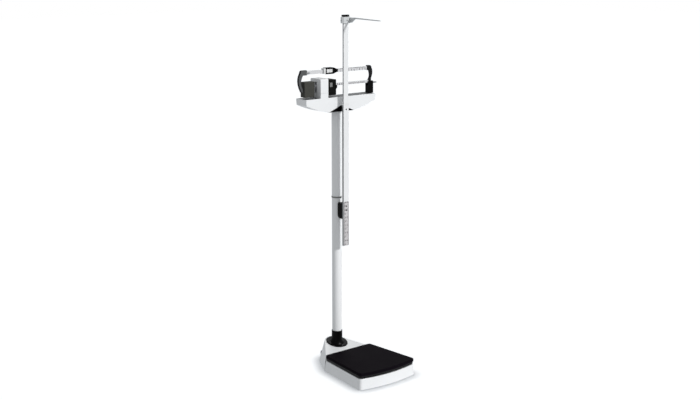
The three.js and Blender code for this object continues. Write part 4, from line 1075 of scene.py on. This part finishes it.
class SCALE_OT_stage(bpy.types.Operator):
    """Pale floor, soft studio light and the camera"""

    bl_idname = "scale.stage"
    bl_label = "Stage and camera"

    def execute(self, context):
        own = context.scene.scale_stage
        context.scene.view_settings.view_transform = "Standard"
        self.world(context, own.ambient)
        self.lights(own.key, self.floor(own.contact))
        self.camera(context, own.lens)
        return {"FINISHED"}

    def camera(self, context, lens):
        """A view from the front left, from above the top of the measuring rod."""
        from_column_foot = Vector((-3.567, -4.543, 2.129))
        tilt_down, heading = math.radians(12.321), math.radians(-38.816)
        data = bpy.data.cameras.new("camera")
        data.lens = lens
        data.sensor_width = 36
        data.clip_end = 100
        camera = bpy.data.objects.new("camera", data)
        context.scene.collection.objects.link(camera)
        camera.location = Vector((COLUMN.x, COLUMN.y, 0)) + from_column_foot
        camera.rotation_euler = (math.radians(90) - tilt_down, 0, heading)
        context.scene.camera = camera

    def world(self, context, strength):
        """White behind the object, and an even dimmer light for everything that it lights."""
        world = bpy.data.worlds.new("studio")
        context.scene.world = world
        world.use_nodes = True
        tree = world.node_tree
        tree.nodes.clear()
        seen = tree.nodes.new("ShaderNodeBackground")
        seen.inputs["Color"].default_value = (1.0, 1.0, 1.0, 1.0)
        seen.inputs["Strength"].default_value = 1.0
        lighting = tree.nodes.new("ShaderNodeBackground")
        lighting.inputs["Color"].default_value = (0.96, 0.98, 1.0, 1.0)
        lighting.inputs["Strength"].default_value = strength
        path = tree.nodes.new("ShaderNodeLightPath")
        mix = tree.nodes.new("ShaderNodeMixShader")
        out = tree.nodes.new("ShaderNodeOutputWorld")
        tree.links.new(path.outputs["Is Camera Ray"], mix.inputs[0])
        tree.links.new(lighting.outputs[0], mix.inputs[1])
        tree.links.new(seen.outputs[0], mix.inputs[2])
        tree.links.new(mix.outputs[0], out.inputs["Surface"])

    def floor(self, reach):
        """A wide pale floor, whose own light fades where the object stands close over it."""
        falloff = 2.4
        select_none()
        bpy.ops.mesh.primitive_plane_add(size=60, location=(0, 0, 0))
        floor = added("floor")
        material = bpy.data.materials.new("pale_floor")
        material.use_nodes = True
        tree = material.node_tree
        tree.nodes.clear()
        diffuse = tree.nodes.new("ShaderNodeBsdfDiffuse")
        diffuse.inputs["Color"].default_value = (0.85, 0.88, 0.91, 1.0)
        glow = tree.nodes.new("ShaderNodeEmission")
        glow.inputs["Color"].default_value = (1.0, 1.0, 1.0, 1.0)
        path = tree.nodes.new("ShaderNodeLightPath")
        near = tree.nodes.new("ShaderNodeAmbientOcclusion")
        near.inputs["Distance"].default_value = reach
        open_part = math_node(tree, "POWER", near.outputs["AO"], falloff)
        seen = math_node(tree, "MULTIPLY", open_part, SEEN_GLOW)
        more = math_node(tree, "SUBTRACT", seen, BOUNCE)
        gain = math_node(tree, "MULTIPLY_ADD", path.outputs["Is Camera Ray"], more, BOUNCE)
        both = tree.nodes.new("ShaderNodeAddShader")
        out = tree.nodes.new("ShaderNodeOutputMaterial")
        tree.links.new(gain, glow.inputs["Strength"])
        tree.links.new(diffuse.outputs[0], both.inputs[0])
        tree.links.new(glow.outputs[0], both.inputs[1])
        tree.links.new(both.outputs[0], out.inputs["Surface"])
        floor.data.materials.append(material)
        return floor

    def lights(self, strength, floor):
        """A key light from the right front and a weak one from behind. Neither lights the floor."""
        skipped = bpy.data.collections.new("unlit_by_lamps")
        skipped.objects.link(floor)
        skipped.collection_objects[0].light_linking.link_state = "EXCLUDE"
        for name, azimuth, elevation, share, spread in (
            ("key", 18.0, 28.0, 1.0, 5.0),
            ("back", 150.0, 35.0, 0.16, 30.0),
        ):
            data = bpy.data.lights.new(name, "SUN")
            data.energy = strength * share
            data.angle = math.radians(spread)
            lamp = bpy.data.objects.new(name, data)
            bpy.context.scene.collection.objects.link(lamp)
            around, up = math.radians(azimuth), math.radians(elevation)
            towards = Vector((
                math.sin(around) * math.cos(up),
                -math.cos(around) * math.cos(up),
                math.sin(up),
            ))
            lamp.rotation_euler = towards.to_track_quat("Z", "Y").to_euler()
            lamp.location = towards * 5  # only for show, as a sun's place doesn't matter
            lamp.light_linking.receiver_collection = skipped


class SCALE_PT_panel(bpy.types.Panel):
    """Lists the steps that build the scale"""

    bl_idname = "SCALE_PT_panel"
    bl_label = "Physician beam scale"
    bl_space_type = "VIEW_3D"
    bl_region_type = "UI"
    bl_category = "Beam scale"

    def draw(self, context):
        scene = context.scene
        for step in STEPS:
            self.layout.operator(step.bl_idname)
        for owner in (scene.scale_sizes, scene.scale_finishes, scene.scale_stage):
            box = self.layout.box()
            for name in owner.__annotations__:
                box.prop(owner, name)


STEPS = (
    SCALE_OT_base,
    SCALE_OT_platform,
    SCALE_OT_column,
    SCALE_OT_rod,
    SCALE_OT_head,
    SCALE_OT_housing,
    SCALE_OT_beam,
    SCALE_OT_poises,
    SCALE_OT_mechanism,
    SCALE_OT_stage,
)
CLASSES = (ScaleSizes, ScaleFinishes, ScaleStage, *STEPS, SCALE_PT_panel)


def register():
    for kind in CLASSES:
        bpy.utils.register_class(kind)
    bpy.types.Scene.scale_sizes = bpy.props.PointerProperty(type=ScaleSizes)
    bpy.types.Scene.scale_finishes = bpy.props.PointerProperty(type=ScaleFinishes)
    bpy.types.Scene.scale_stage = bpy.props.PointerProperty(type=ScaleStage)


def unregister():
    for name in ("scale_sizes", "scale_finishes", "scale_stage"):
        delattr(bpy.types.Scene, name)
    for kind in reversed(CLASSES):
        bpy.utils.unregister_class(kind)


def main():
    register()
    bpy.ops.scale.base()
    bpy.ops.scale.platform()
    bpy.ops.scale.column()
    bpy.ops.scale.rod()
    bpy.ops.scale.head()
    bpy.ops.scale.housing()
    bpy.ops.scale.beam()
    bpy.ops.scale.poises()
    bpy.ops.scale.mechanism()
    bpy.ops.scale.stage()


if __name__ == "__main__":
    main()
